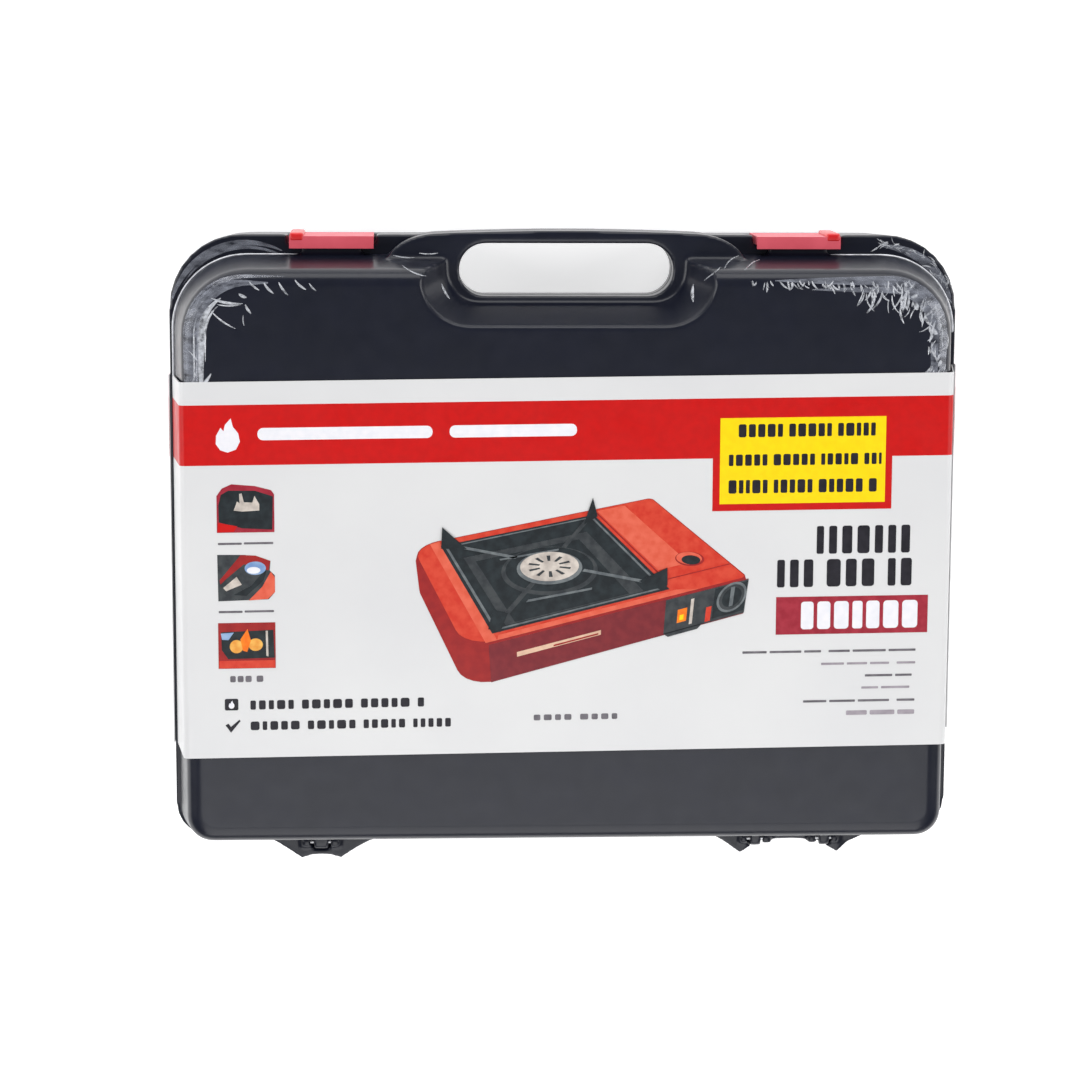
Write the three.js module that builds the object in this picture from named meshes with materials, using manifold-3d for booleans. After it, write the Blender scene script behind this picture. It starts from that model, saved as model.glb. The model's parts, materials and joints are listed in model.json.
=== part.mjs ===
// A one-burner camping stove packed in its moulded carry case, with a printed card wrap round the case.
// Millimetres. The case lies on its back: X to the right, Y towards the handle, Z up and out of the lid.
// The origin is under the middle of the whole, on the surface that the case lies on.
import * as THREE from 'three';
import { mergeVertices } from 'three/addons/utils/BufferGeometryUtils.js';
import Module from 'manifold-3d';

const wasm = await Module();
wasm.setup();

// ---------------------------------------------------------------- driving dimensions

const GAP = 0.3;                  // between pieces that touch
const SMALL_SIDES = 12;           // sides of the smallest rods and bores
const PAST = 10;                  // how far a cut runs past what it cuts
const FUSE = 0.2;                 // how far joined shapes run into each other
const WELD = 1e-4;                // corners nearer than this are one
const PAN_SIDES = 32;             // sides of the burner pan's round hole
const CREST_STEPS = 10;           // sides in each arc of the handle's arched top
const ROUND_STEPS = 4;            // half the sides in each rounded corner of an outline

const CREST_Y = 296.4;            // top of the handle, above the hinge edge of the lid
const FOOT_Y = -11.8;             // lowest point of the hinge ears
const CENTRE_Y = (CREST_Y + FOOT_Y) / 2;

const SPLIT_Z = 72.3;             // the joint between the two shells
const LID_TOP_Z = 108;
const BASE_LOW_Z = 2;             // back face, held off the ground by the rest pads
const WALL = 5;                   // of the moulded double wall

const LID = { half: 187, y0: 0, y1: 285, rTop: 35, rBottom: 16 };
const BASE = { half: 189, y0: 0, y1: 294, rTop: 35, rBottom: 16 };
const ROOM = { half: 181.5, y0: 6, y1: 279, rTop: 28, rBottom: 11 };
const BASE_ROOM = { draft: 1.5, edgeR: 5 };
const LID_ROOM = { draft: 4, edgeR: 4 };
const LID_DRAFT = 5;
const BASE_DRAFT = 2.5;
const CORNER_SHRINK = 0.7;        // loss of corner radius for each millimetre of inset
const EDGE_R = 7.5;               // rounding round the two big faces

const HANDLE = { half: 51, y0: 265.4, y1: 290.4, root: 86, rootR: 4, shoulder: 12, joined: 8, thick: 12 };
const RECESS = { half: 57, y: 262.5, r: 16, wall: 4.2 };       // where it meets the handle
const LID_MOUTH = { half: 70, y: 252.5, r: 23 };              // and where it opens in each face
const BASE_MOUTH = { half: 64, y: 261, r: 20 };

const LATCH_X = [-111.5, 111.5];
const LATCH = { half: 20, y0: 289.5, y1: 293.4, z0: 45, top: 79.4, hookY: 287.6, hookHigh: 2.2 };
const LATCH_PIN = { y: 289.4, z: 47.5, r: 1.2 };
const LATCH_LUG = {                // on the case, either side of the latch's eye, and the room left round it
  at: 14, half: 2, r: 2.2, armHalf: 1.8, side: 0.5, above: 5,
};
const LATCH_SKIN = 1.2;           // left of the plate in front of a lug
const LATCH_EYE = { half: 10.5, r: 2.3 };
const NUB = { half: 3, inset: 3.4, z0: 50, z1: 76, proud: 1.4 };  // ridge at the outer end, for a finger
const CATCH = { half: 14, y1: 288.7, z1: 76.2 };              // ridge on the lid, under the latch's hook
const POCKET = { side: 1.2, z0: 41, deepY: 285.4, deepTop: 54, shallowY: 288.9 };

const PIN_END = 0.4;              // free length past each end of a pin, in its hole
const HINGE = {
  y: -3.2, z: SPLIT_Z, pinR: 1.2, knuckleR: 3.7, bossR: 2.7, earDeep: 9, armThick: 3.4, round: 0.8, side: 0.5,
};
const EARS = [                    // outline of each hinge ear, from one foot on the case edge to the other
  [[-152, 2], [-147, -0.6], [-141, -3.2], [-134.5, -7.4], [-128.3, FOOT_Y], [-123.5, -10.4], [-118.7, -9.9],
    [-113.9, -10.4], [-109.1, FOOT_Y], [-102, -7.2], [-95, -3.4], [-88, -1], [-82, 2]],
  [[66, 2], [72, -0.8], [80, -5.2], [88.1, -11.2], [93.4, -7.6], [99.6, -5.2], [106.5, -4.2], [114, -4],
    [121, -4.6], [128.6, -6.6], [136.3, -11], [142, -5.6], [149, -2.6], [157, -0.6], [162, 2]],
];
const BOSSES = [[-128, -123.1], [-114.4, -109.5], [87.9, 91.9], [98.6, 103], [121.5, 125.9], [132.6, 136.6]];
const KNUCKLES = [[-122.5, -115], [92.5, 98], [126.5, 132]];
const PINS = { left: [-127, -110.5], middle: [89, 102], right: [122.5, 135.6] };

const PADS = { x: 150, y: [26, 246], halfX: 18, halfY: 9, r: 4 };  // flat pads that the case rests on

const WRAP = { y0: 49.4, y1: 229.2, card: 0.6, fold: 3.4 };

const STOVE = {
  x0: -167, x1: 166.5, y0: 20, y1: 256, z0: 12, z1: 82, sheet: 1.4, leftR: 34, rightR: 7, edgeR: 5,
};
const TRAY = { top: STOVE.z0 + 1.5, skin: 0.4, screwHole: 2.4 };  // the plate under the stove
const ON_TRAY = TRAY.top + 2 * GAP;                            // where what stands on it starts
const WELL_FREE = 1.2;                                         // round the burner pan, in the casing
const BURNER = { x: -30, y: 138 };
const PAN = {
  half: 102, rimR: 14, well: 92, wellR: 11, rimZ: STOVE.z1 + GAP, floorZ: 61, sheet: 1.2, hole: 45, lip: 4,
};
const ELECTRODE = { x: BURNER.x + 34.2, y: BURNER.y - 20.3 };
const SUPPORT = { half: 88, z: 84.4, bar: 4.5, high: 5, armEnd: 27, prongLow: 65 };
const BAY = { x0: 76.9, y0: 55.4, z0: 39.4 };
const COVER = { x0: 77.4, y0: 56, y1: 254, low: 40, sheet: 1.6, r: 9 };
const PEEP = { x: 127, y: 84, r: 11, ringR: 15.5, proud: 0.9 };  // round hole over the cartridge's collar
const COVER_HINGE = { x: 76.3, z: 84.1, r: 1.8, pinR: 0.8, pin: [75, 239], bore: [70, 260] };
const FIXED_LUGS = [[76, 85.4], [228.6, 238]];
const COVER_LUGS = [[86, 104], [210, 228]];
const FASCIA = { x0: 79, x1: 164, y0: 16.6, y1: STOVE.y0 - GAP, z0: 20, z1: 74 };
const KNOB = {
  x: 139, z: 44, r: 16.5, y0: 7.4, y1: 16, shaftHole: 5, shaftR: 2.7,
  gripHalf: 4.2, gripDeep: 4.5, flutes: 16, fluteR: 1.5,
};
const LEVER = { x: 99, z0: 46, z1: 66, travel: 14, half: 4.4, stem: 1.6, y: [9, 16, 23] };
const REGULATOR = { x0: 106, x1: 152, y0: 29, y1: 53, z0: 29, z1: 60, capX: 137, capY: 41.5 };
const INLET = { x: 120, z: 47, r: 9, bore: 5.6, deep: 4, proud: 2.4 };
const FEET = [[-140, 46], [140, 46], [-140, 230], [140, 230]];
const FOOT_LOW = BASE_LOW_Z + WALL + GAP;

// Turned profiles, as [radius, height] from the axis at the bottom to the axis at the top.
const FOOT_PROFILE = [[2.5, 9.6], [4.8, 9.6], [4.8, FOOT_LOW], [8.2, FOOT_LOW], [9, STOVE.z0], [2.5, STOVE.z0],
  [2.5, 9.6]];
const SCREW_PROFILE = [[0, 8.2], [3.6, 8.2], [4, 8.8], [4, 9.3], [1.9, 9.3], [1.9, 17], [1.2, 18.5], [0, 18.5]];
const HEAD_PROFILE = [[0, 30.6], [13, 30.6], [13, 50], [22, 55], [37, 60], [37, 67], [33.5, 67], [31, 62.5],
  [20, 58], [0, 56]];
const CAP_PROFILE = [[0, 64], [29, 64], [29, 67.6], [35.5, 67.6], [36, 69.4], [30, 71.6], [12, 72.6],
  [0, 72.6]];
const ELECTRODE_PROFILE = [[0, 30.5], [3, 30.5], [3, 34], [1.9, 36], [1.9, 62], [0.6, 63], [0.6, 69], [0, 69]];
const REGULATOR_CAP_PROFILE = [[0, 60.3], [15, 60.3], [15, 64], [12, 66], [4, 68.5], [0, 68.5]];
const BEZEL_PROFILE = [[17.4, 0], [20.6, 0.6], [20.6, 2], [17.4, 2], [17.4, 0]];

// Bent and cut sheet, and the smaller fittings.
const STAND_PROFILE = [[-44, 14.1], [-30, 14.1], [-26, 29], [26, 29], [30, 14.1], [44, 14.1], [44, 15.3],
  [31, 15.3], [27, 30.2], [-27, 30.2], [-31, 15.3], [-44, 15.3]];
const STAND_HALF = 14;
const ELECTRODE_SHELF = { x0: 20, x1: 38, y0: -24, y1: -13, z0: 29, z1: 30.2 };
const HEAD_PORT = { z: 39, r: 8.6, y0: -20, y1: -8 };
const CAP_SLOTS = { count: 12, r0: 17, r1: 28, half: 1.5, low: 70.2, high: 74 };
const SHIELD = { x: 73.4, sheet: 1.2, foot: 1, y0: 57, y1: 250 };
const SHIELD_NOTCH = { y0: 138, y1: 182, high: 17.4 };        // over the heat conduction plate
const SHIELD_VENTS = { count: 5, y0: 84, long: 16, pitch: 32, z0: 56, z1: 62 };
const TRIM = { x0: -112, x1: -18, z0: 46, z1: 54, sheet: 1.2 };
const PRONG = { out: 26, shoulder: 15, tip: 7, edge: 3.4, foot: 1, shoulderUp: 9, waist: 0.6 };
const TUBE_PATH = [[98, 41, 39], [60, 42, 39], [10, 50, 39], [-22, 76, 39], [-30, 98, 39], [-30, 118, 39]];
const TUBE = { r: 7.8, bore: 6.6 };
const JET = { y: 41, z: 39, r: 5, out: 6 };
const IGNITER = { x0: 84, x1: 101, y0: 26, y1: 42, z0: 60, z1: 72, knobR: 4, knobX: 108 };
const LEAD_PATH = [[83.5, 34, 66], [77, 34, 65.4], [71, 35, 60], [62, 39, 54], [34, 60, 51], [16, 88, 50],
  [ELECTRODE.x, ELECTRODE.y - 14, 44], [ELECTRODE.x, ELECTRODE.y - 4.6, 32.5]];
const LEAD_R = 1.2;
const SEAL = { r: 3.9, thick: 1.2, in: 2.4 };
const CRADLES = { front: 92, rear: 214 };
const CRADLE = { x0: 88, x1: 152, high: 26, half: 4, seatR: 34.5, seatUp: 3.4 };
const CONDUCTOR = { x0: 26, x1: 150, y0: 141, y1: 179, sheet: 1.2, up: 46 };
const COLLAR = { half: 22, y0: 64, y1: 66, z0: 18, z1: 68, r: 6, neck: 13 };
const WINDOW = { x0: 83.8, x1: 91, z0: 44.4, z1: 61.6, proud: 0.2, deep: 1.2, free: 0.4 };

// ---------------------------------------------------------------- shape helpers

function toSolid(geometry) {
  const bare = new THREE.BufferGeometry();
  bare.setAttribute('position', geometry.getAttribute('position').clone());
  if (geometry.index) bare.setIndex(geometry.index.clone());
  const merged = mergeVertices(bare, WELD);
  return new wasm.Manifold(new wasm.Mesh({
    numProp: 3,
    vertProperties: new Float32Array(merged.getAttribute('position').array),
    triVerts: new Uint32Array(merged.index.array),
  }));
}

function toGeometry(solid) {
  const mesh = solid.getMesh();
  const geometry = new THREE.BufferGeometry();
  geometry.setAttribute('position', new THREE.BufferAttribute(new Float32Array(mesh.vertProperties), 3));
  geometry.setIndex(new THREE.BufferAttribute(new Uint32Array(mesh.triVerts), 1));
  return geometry;
}

const join = (first, ...rest) => rest.reduce((all, next) => all.add(next), first);
const cut = (first, ...rest) => rest.reduce((all, next) => all.subtract(next), first);

function extruded(shape, z0, z1, curveSegments = ROUND_STEPS) {
  const geometry = new THREE.ExtrudeGeometry(shape, { depth: z1 - z0, bevelEnabled: false, curveSegments });
  return geometry.translate(0, 0, z0);
}

// The shape's own x, y become X, Z and it runs along Y.
function extrudedY(shape, y0, y1, curveSegments = ROUND_STEPS) {
  return extruded(shape, 0, y1 - y0, curveSegments).rotateX(Math.PI / 2).translate(0, y1, 0);
}

// The shape's own x, y become Y, Z and it runs along X.
function extrudedX(shape, x0, x1, curveSegments = ROUND_STEPS) {
  const turn = new THREE.Matrix4().set(0, 0, 1, 0, 1, 0, 0, 0, 0, 1, 0, 0, 0, 0, 0, 1);
  return extruded(shape, x0, x1, curveSegments).applyMatrix4(turn);
}

function box(x0, x1, y0, y1, z0, z1) {
  const geometry = new THREE.BoxGeometry(x1 - x0, y1 - y0, z1 - z0);
  return geometry.translate((x0 + x1) / 2, (y0 + y1) / 2, (z0 + z1) / 2);
}

function rodZ(x, y, r, z0, z1, sides = 20) {
  return new THREE.CylinderGeometry(r, r, z1 - z0, sides).rotateX(Math.PI / 2).translate(x, y, (z0 + z1) / 2);
}

function rodY(x, z, r, y0, y1, sides = 20) {
  return new THREE.CylinderGeometry(r, r, y1 - y0, sides).translate(x, (y0 + y1) / 2, z);
}

function rodX(y, z, r, x0, x1, sides = 20) {
  return new THREE.CylinderGeometry(r, r, x1 - x0, sides).rotateZ(Math.PI / 2).translate((x0 + x1) / 2, y, z);
}

// A turned piece: a profile of [radius, height] about a vertical axis at x, y.
function turned(profile, x, y, sides) {
  const points = profile.map(([r, h]) => new THREE.Vector2(r, h));
  return new THREE.LatheGeometry(points, sides).rotateX(Math.PI / 2).translate(x, y, 0);
}

function polygon(points) {
  return new THREE.Shape(points.map(([x, y]) => new THREE.Vector2(x, y)));
}

function roundedShape({ x0, x1, y0, y1, rTop, rBottom }) {
  const shape = new THREE.Shape();
  shape.absarc(x1 - rBottom, y0 + rBottom, rBottom, -Math.PI / 2, 0);
  shape.absarc(x1 - rTop, y1 - rTop, rTop, 0, Math.PI / 2);
  shape.absarc(x0 + rTop, y1 - rTop, rTop, Math.PI / 2, Math.PI);
  shape.absarc(x0 + rBottom, y0 + rBottom, rBottom, Math.PI, 1.5 * Math.PI);
  shape.closePath();
  return shape;
}

const evenRound = (x0, x1, y0, y1, r) => roundedShape({ x0, x1, y0, y1, rTop: r, rBottom: r });

// A solid through rings of equal point counts, each { z, points }, closed at both ends.
function lofted(rings) {
  const count = rings[0].points.length;
  const vertices = rings.flatMap(({ z, points }) => points.flatMap((p) => [p.x, p.y, z]));
  const index = [];
  for (let ring = 0; ring + 1 < rings.length; ring += 1) {
    for (let i = 0; i < count; i += 1) {
      const a = ring * count + i;
      const b = ring * count + (i + 1) % count;
      index.push(a, b, b + count, a, b + count, a + count);
    }
  }
  const last = (rings.length - 1) * count;
  for (const [a, b, c] of THREE.ShapeUtils.triangulateShape(rings[0].points, [])) index.push(a, c, b);
  for (const [a, b, c] of THREE.ShapeUtils.triangulateShape(rings[rings.length - 1].points, [])) {
    index.push(last + a, last + b, last + c);
  }
  const geometry = new THREE.BufferGeometry();
  geometry.setAttribute('position', new THREE.Float32BufferAttribute(vertices, 3));
  geometry.setIndex(index);
  return geometry;
}

function outline({ half, y0, y1, rTop, rBottom }, inset) {
  const shape = roundedShape({
    x0: -half + inset,
    x1: half - inset,
    y0: y0 + inset,
    y1: y1 - inset,
    rTop: rTop - inset * CORNER_SHRINK,
    rBottom: Math.max(rBottom - inset * CORNER_SHRINK, 1),
  });
  return shape.getPoints(ROUND_STEPS).slice(0, -1);
}

// A moulded tray's outer form from the joint at z0 to its face at z1, drafted, with a rounded edge.
function trayForm(plan, z0, z1, draft, radius) {
  const away = Math.sign(z1 - z0);
  const rings = [
    { z: z0, points: outline(plan, 0) },
    { z: z1 - away * radius, points: outline(plan, draft) },
  ];
  for (const turn of [22.5, 45, 67.5, 90]) {
    const angle = THREE.MathUtils.degToRad(turn);
    rings.push({
      z: z1 - away * radius * (1 - Math.sin(angle)),
      points: outline(plan, draft + radius * (1 - Math.cos(angle))),
    });
  }
  if (away < 0) rings.reverse();
  return lofted(rings);
}

const root = new THREE.Group();
root.position.y = -CENTRE_Y;

const LOOKS = {
  case_plastic: { color: 0x272a33, roughness: 0.42, metalness: 0 },
  latch_plastic: { color: 0xd8232a, roughness: 0.35, metalness: 0 },
  card: { color: 0xececef, roughness: 0.5, metalness: 0 },
  red_paint: { color: 0xb8201a, roughness: 0.35, metalness: 0.1 },
  black_enamel: { color: 0x15161a, roughness: 0.3, metalness: 0.1 },
  steel: { color: 0x9a9da1, roughness: 0.35, metalness: 0.9 },
  aluminium: { color: 0xb9bbbd, roughness: 0.45, metalness: 0.9 },
  chrome: { color: 0xd9dadc, roughness: 0.12, metalness: 1 },
  brass: { color: 0xb8953f, roughness: 0.35, metalness: 0.9 },
  dark_plastic: { color: 0x33353b, roughness: 0.5, metalness: 0 },
  amber_plastic: { color: 0xf0841c, roughness: 0.2, metalness: 0 },
  rubber: { color: 0x1b1b1c, roughness: 0.85, metalness: 0 },
  ceramic: { color: 0xe8e4da, roughness: 0.3, metalness: 0 },
};

function add(name, look, shape) {
  const geometry = shape.isBufferGeometry ? shape : toGeometry(shape);
  const mesh = new THREE.Mesh(geometry, new THREE.MeshStandardMaterial(LOOKS[look]));
  mesh.name = name;
  root.add(mesh);
}

// ---------------------------------------------------------------- carry case

// The hollow either side of the handle, open at the handle edge: floor at z0, mouth at z1 past the face.
function recessForm(mouth, z0, z1, grow) {
  const ring = (at, z) => ({
    z,
    points: roundedShape({
      x0: -at.half - grow,
      x1: at.half + grow,
      y0: at.y - grow,
      y1: CREST_Y + 2 * PAST,
      rTop: 1,
      rBottom: at.r + grow,
    }).getPoints(ROUND_STEPS).slice(0, -1),
  });
  const rings = [ring(RECESS, z0), ring(mouth, z1)];
  return lofted(z1 > z0 ? rings : rings.reverse());
}

// Half of the handle: a plate from the shell's edge up to the crest, with its arched top.
function handlePlate(z0, z1) {
  const shape = new THREE.Shape();
  const { half, root, rootR, shoulder, joined } = HANDLE;
  const low = LID.y1 - rootR;
  shape.moveTo(-root, RECESS.y - joined);
  shape.lineTo(root, RECESS.y - joined);
  shape.lineTo(root, low);
  shape.quadraticCurveTo(root - rootR, BASE.y1 - 1, half + shoulder, BASE.y1 + 1);
  shape.quadraticCurveTo(0, 2 * CREST_Y - BASE.y1 - 1, -half - shoulder, BASE.y1 + 1);
  shape.quadraticCurveTo(-root + rootR, BASE.y1 - 1, -root, low);
  shape.closePath();
  return extruded(shape, z0, z1, CREST_STEPS);
}

function fingerHole() {
  const r = (HANDLE.y1 - HANDLE.y0) / 2;
  const shape = evenRound(-HANDLE.half, HANDLE.half, HANDLE.y0, HANDLE.y1, r - FUSE / 2);
  return extruded(shape, -PAST, LID_TOP_Z + PAST, 2 * ROUND_STEPS);
}

function latchPocket(x) {
  const { side, z0, deepY, deepTop, shallowY } = POCKET;
  const half = LATCH.half + side;
  return join(
    toSolid(box(x - half, x + half, deepY, CREST_Y, z0, deepTop)),
    toSolid(box(x - half, x + half, shallowY, CREST_Y, z0, SPLIT_Z + 1)),
  );
}

function latchLug(x) {
  const { half, r, armHalf } = LATCH_LUG;
  const { y, z } = LATCH_PIN;
  const arm = box(x - half, x + half, POCKET.deepY - FUSE, y, z - armHalf, z + armHalf);
  return join(toSolid(arm), toSolid(rodX(y, z, r, x - half, x + half, SMALL_SIDES)));
}

function knuckleClearance([x0, x1]) {
  const { y, z, knuckleR, round, side } = HINGE;
  return toSolid(rodX(y, z, knuckleR + round, x0 - side, x1 + side));
}

function backShell() {
  const top = SPLIT_Z - GAP;
  let shell = toSolid(trayForm(BASE, top, BASE_LOW_Z, BASE_DRAFT, EDGE_R));
  const webLow = SPLIT_Z - HANDLE.thick;
  shell = shell.subtract(toSolid(recessForm(BASE_MOUTH, webLow, BASE_LOW_Z - 1, 0)));
  shell = join(shell, toSolid(handlePlate(webLow, top)));
  const room = toSolid(trayForm(ROOM, top + 1, BASE_LOW_Z + WALL, BASE_ROOM.draft, BASE_ROOM.edgeR));
  shell = cut(shell, room.subtract(toSolid(recessForm(BASE_MOUTH, top + 2, BASE_LOW_Z - 1, RECESS.wall))));
  shell = cut(shell, toSolid(fingerHole()), ...LATCH_X.map(latchPocket));
  for (const x of LATCH_X) shell = join(shell, latchLug(x - LATCH_LUG.at), latchLug(x + LATCH_LUG.at));
  for (const points of EARS) {
    shell = join(shell, toSolid(extruded(polygon(points), HINGE.z - HINGE.earDeep, top)));
  }
  for (const [x0, x1] of BOSSES) {
    shell = join(shell, toSolid(rodX(HINGE.y, HINGE.z, HINGE.bossR, x0, x1)));
  }
  for (const [x0, x1] of Object.values(PINS)) {
    shell = cut(shell, toSolid(rodX(HINGE.y, HINGE.z, HINGE.pinR + GAP, x0 - PIN_END, x1 + PIN_END)));
  }
  shell = cut(shell, ...KNUCKLES.map(knuckleClearance));
  for (const x of LATCH_X) {
    const reach = LATCH_LUG.at + LATCH_LUG.half + 2 * PIN_END;
    shell = cut(shell, toSolid(rodX(LATCH_PIN.y, LATCH_PIN.z, LATCH_PIN.r + GAP, x - reach, x + reach, 16)));
  }
  for (const x of [-PADS.x, PADS.x]) {
    for (const y of PADS.y) {
      const pad = evenRound(x - PADS.halfX, x + PADS.halfX, y - PADS.halfY, y + PADS.halfY, PADS.r);
      shell = join(shell, toSolid(extruded(pad, 0, BASE_LOW_Z + 1)));
    }
  }
  return shell;
}

function frontShell() {
  const low = SPLIT_Z + GAP;
  let shell = toSolid(trayForm(LID, low, LID_TOP_Z, LID_DRAFT, EDGE_R));
  const webTop = SPLIT_Z + HANDLE.thick;
  shell = shell.subtract(toSolid(recessForm(LID_MOUTH, webTop, LID_TOP_Z + 1, 0)));
  shell = join(shell, toSolid(handlePlate(low, webTop)));
  const room = toSolid(trayForm(ROOM, low - 1, LID_TOP_Z - WALL, LID_ROOM.draft, LID_ROOM.edgeR));
  shell = cut(shell, room.subtract(toSolid(recessForm(LID_MOUTH, low - 2, LID_TOP_Z + 1, RECESS.wall))));
  shell = cut(shell, toSolid(fingerHole()));
  for (const x of LATCH_X) {
    shell = join(shell, toSolid(box(x - CATCH.half, x + CATCH.half, LID.y1 - 4, CATCH.y1, low, CATCH.z1)));
  }
  for (const [x0, x1] of KNUCKLES) {
    const arm = box(x0, x1, HINGE.y, LID.y0 + 2, low, low + HINGE.armThick);
    shell = join(shell, toSolid(rodX(HINGE.y, HINGE.z, HINGE.knuckleR, x0, x1)), toSolid(arm));
    shell = cut(shell, toSolid(rodX(HINGE.y, HINGE.z, HINGE.pinR + GAP, x0 - 1, x1 + 1, 16)));
  }
  return shell;
}

// The wrap is a card band; it is slit along the joint of the case, so that each half stays with its shell.
function wrapSection(outer, inner) {
  const path = (points, r) => {
    const shape = [];
    const [a, b] = points;
    shape.push([a[0], a[1]]);
    for (const turn of [0, 30, 60, 90]) {
      const angle = THREE.MathUtils.degToRad(turn);
      shape.push([b[0] - r + r * Math.cos(angle), b[1] + Math.sign(b[1] - a[1]) * (r * Math.sin(angle) - r)]);
    }
    return shape;
  };
  const right = path(outer.points, outer.r);
  const rightInner = path(inner.points, inner.r);
  const left = [...right].reverse().map(([x, y]) => [-x, y]);
  const leftInner = [...rightInner].reverse().map(([x, y]) => [-x, y]);
  return polygon([...right, ...left, ...leftInner.reverse(), ...rightInner.reverse()]);
}

function wrapHalf(rimHalf, rimZ, faceHalf, faceZ) {
  const away = Math.sign(faceZ - rimZ);
  const far = WRAP.card + GAP;
  const outer = { points: [[rimHalf + far, rimZ], [faceHalf + far, faceZ + away * far]], r: WRAP.fold };
  const inner = {
    points: [[rimHalf + GAP, rimZ], [faceHalf + GAP, faceZ + away * GAP]],
    r: WRAP.fold - WRAP.card,
  };
  return extrudedY(wrapSection(outer, inner), WRAP.y0, WRAP.y1);
}

// A latch: a plate in its pocket, hinged at its low end, with a hook at the top over the lid's catch.
function latch(x) {
  const { half, y0, y1, z0, top, hookY, hookHigh } = LATCH;
  const plate = toSolid(box(x - half, x + half, y0, y1, z0, top));
  const hook = toSolid(box(x - half, x + half, hookY, y0 + FUSE, top - hookHigh, top));
  const eye = toSolid(rodX(LATCH_PIN.y, LATCH_PIN.z, LATCH_EYE.r, x - LATCH_EYE.half, x + LATCH_EYE.half, 16));
  const nubX = x + Math.sign(x) * (half - NUB.inset);
  const nub = toSolid(box(nubX - NUB.half, nubX + NUB.half, y1 - FUSE, y1 + NUB.proud, NUB.z0, NUB.z1));
  const bore = toSolid(rodX(LATCH_PIN.y, LATCH_PIN.z, LATCH_PIN.r + GAP, x - half, x + half, 16));
  const body = cut(join(plate, hook, eye, nub), bore);
  return [-1, 1].reduce((all, side) => {
    const lugX = x + side * LATCH_LUG.at;
    const reach = LATCH_LUG.half + LATCH_LUG.side;
    const high = LATCH_PIN.z + LATCH_LUG.above;
    return cut(all, toSolid(box(lugX - reach, lugX + reach, POCKET.deepY, y1 - LATCH_SKIN, z0 - 1, high)));
  }, body);
}

function carryCase() {
  add('case_back_shell', 'case_plastic', backShell());
  add('case_front_shell', 'case_plastic', frontShell());
  add('wrap_front', 'card', wrapHalf(LID.half, SPLIT_Z + 2 * GAP, LID.half - LID_DRAFT, LID_TOP_Z));
  add('wrap_back', 'card', wrapHalf(BASE.half, SPLIT_Z - 2 * GAP, BASE.half - BASE_DRAFT, BASE_LOW_Z));
  for (const [side, [x0, x1]] of Object.entries(PINS)) {
    add(`hinge_pin_${side}`, 'steel', rodX(HINGE.y, HINGE.z, HINGE.pinR, x0, x1, 16));
  }
  LATCH_X.forEach((x, i) => {
    const side = ['left', 'right'][i];
    const reach = LATCH_LUG.at + LATCH_LUG.half;
    add(`latch_${side}`, 'latch_plastic', latch(x));
    add(`latch_pin_${side}`, 'steel', rodX(LATCH_PIN.y, LATCH_PIN.z, LATCH_PIN.r, x - reach, x + reach, 12));
  });
}

// ---------------------------------------------------------------- stove housing

const casingPlan = (inset) => {
  const { x0, x1, y0, y1 } = STOVE;
  const shape = new THREE.Shape();
  const left = STOVE.leftR - inset;
  const right = STOVE.rightR - inset;
  shape.absarc(x1 - inset - right, y0 + inset + right, right, -Math.PI / 2, 0);
  shape.absarc(x1 - inset - right, y1 - inset - right, right, 0, Math.PI / 2);
  shape.absarc(x0 + inset + left, y1 - inset - left, left, Math.PI / 2, Math.PI);
  shape.absarc(x0 + inset + left, y0 + inset + left, left, Math.PI, 1.5 * Math.PI);
  shape.closePath();
  return shape;
};

function coverHingeBore() {
  const { x, z, pinR, bore } = COVER_HINGE;
  return toSolid(rodY(x, z, pinR + GAP, ...bore, SMALL_SIDES));
}

function casing() {
  const { z0, z1, sheet, edgeR } = STOVE;
  const rings = [{ z: z0, points: casingPlan(0).getPoints(ROUND_STEPS).slice(0, -1) }];
  for (const turn of [0, 30, 60, 90]) {
    const angle = THREE.MathUtils.degToRad(turn);
    rings.push({
      z: z1 - edgeR * (1 - Math.sin(angle)),
      points: casingPlan(edgeR * (1 - Math.cos(angle))).getPoints(ROUND_STEPS).slice(0, -1),
    });
  }
  let body = toSolid(lofted(rings));
  body = cut(body, toSolid(extruded(casingPlan(sheet + TRAY.skin), z0 - PAST, z1 - sheet)));
  const well = PAN.well + WELL_FREE;
  const opening = evenRound(BURNER.x - well, BURNER.x + well, BURNER.y - well, BURNER.y + well, PAN.wellR + 1);
  body = cut(body, toSolid(extruded(opening, z1 - PAST, z1 + 1)));
  body = cut(body, toSolid(box(BAY.x0, STOVE.x1 + 1, BAY.y0, COVER.y1 + 0.6, BAY.z0, z1 + 1)));
  const slot = LEVER.stem + GAP;
  const front = [STOVE.y0 - 1, STOVE.y0 + 3 * sheet];
  const lever = box(LEVER.x - slot, LEVER.x + slot, ...front, LEVER.z0 - LEVER.travel, LEVER.z1 + 1);
  body = cut(body, toSolid(lever), toSolid(rodY(KNOB.x, KNOB.z, KNOB.shaftHole, ...front)));
  for (const [y0, y1] of FIXED_LUGS) {
    const lug = rodY(COVER_HINGE.x, COVER_HINGE.z, COVER_HINGE.r, y0, y1, SMALL_SIDES);
    const post = box(COVER_HINGE.x - COVER_HINGE.r, COVER_HINGE.x + 0.4, y0, y1, z1 - 1, COVER_HINGE.z);
    body = join(body, toSolid(lug), toSolid(post));
  }
  return cut(body, coverHingeBore());
}

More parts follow.
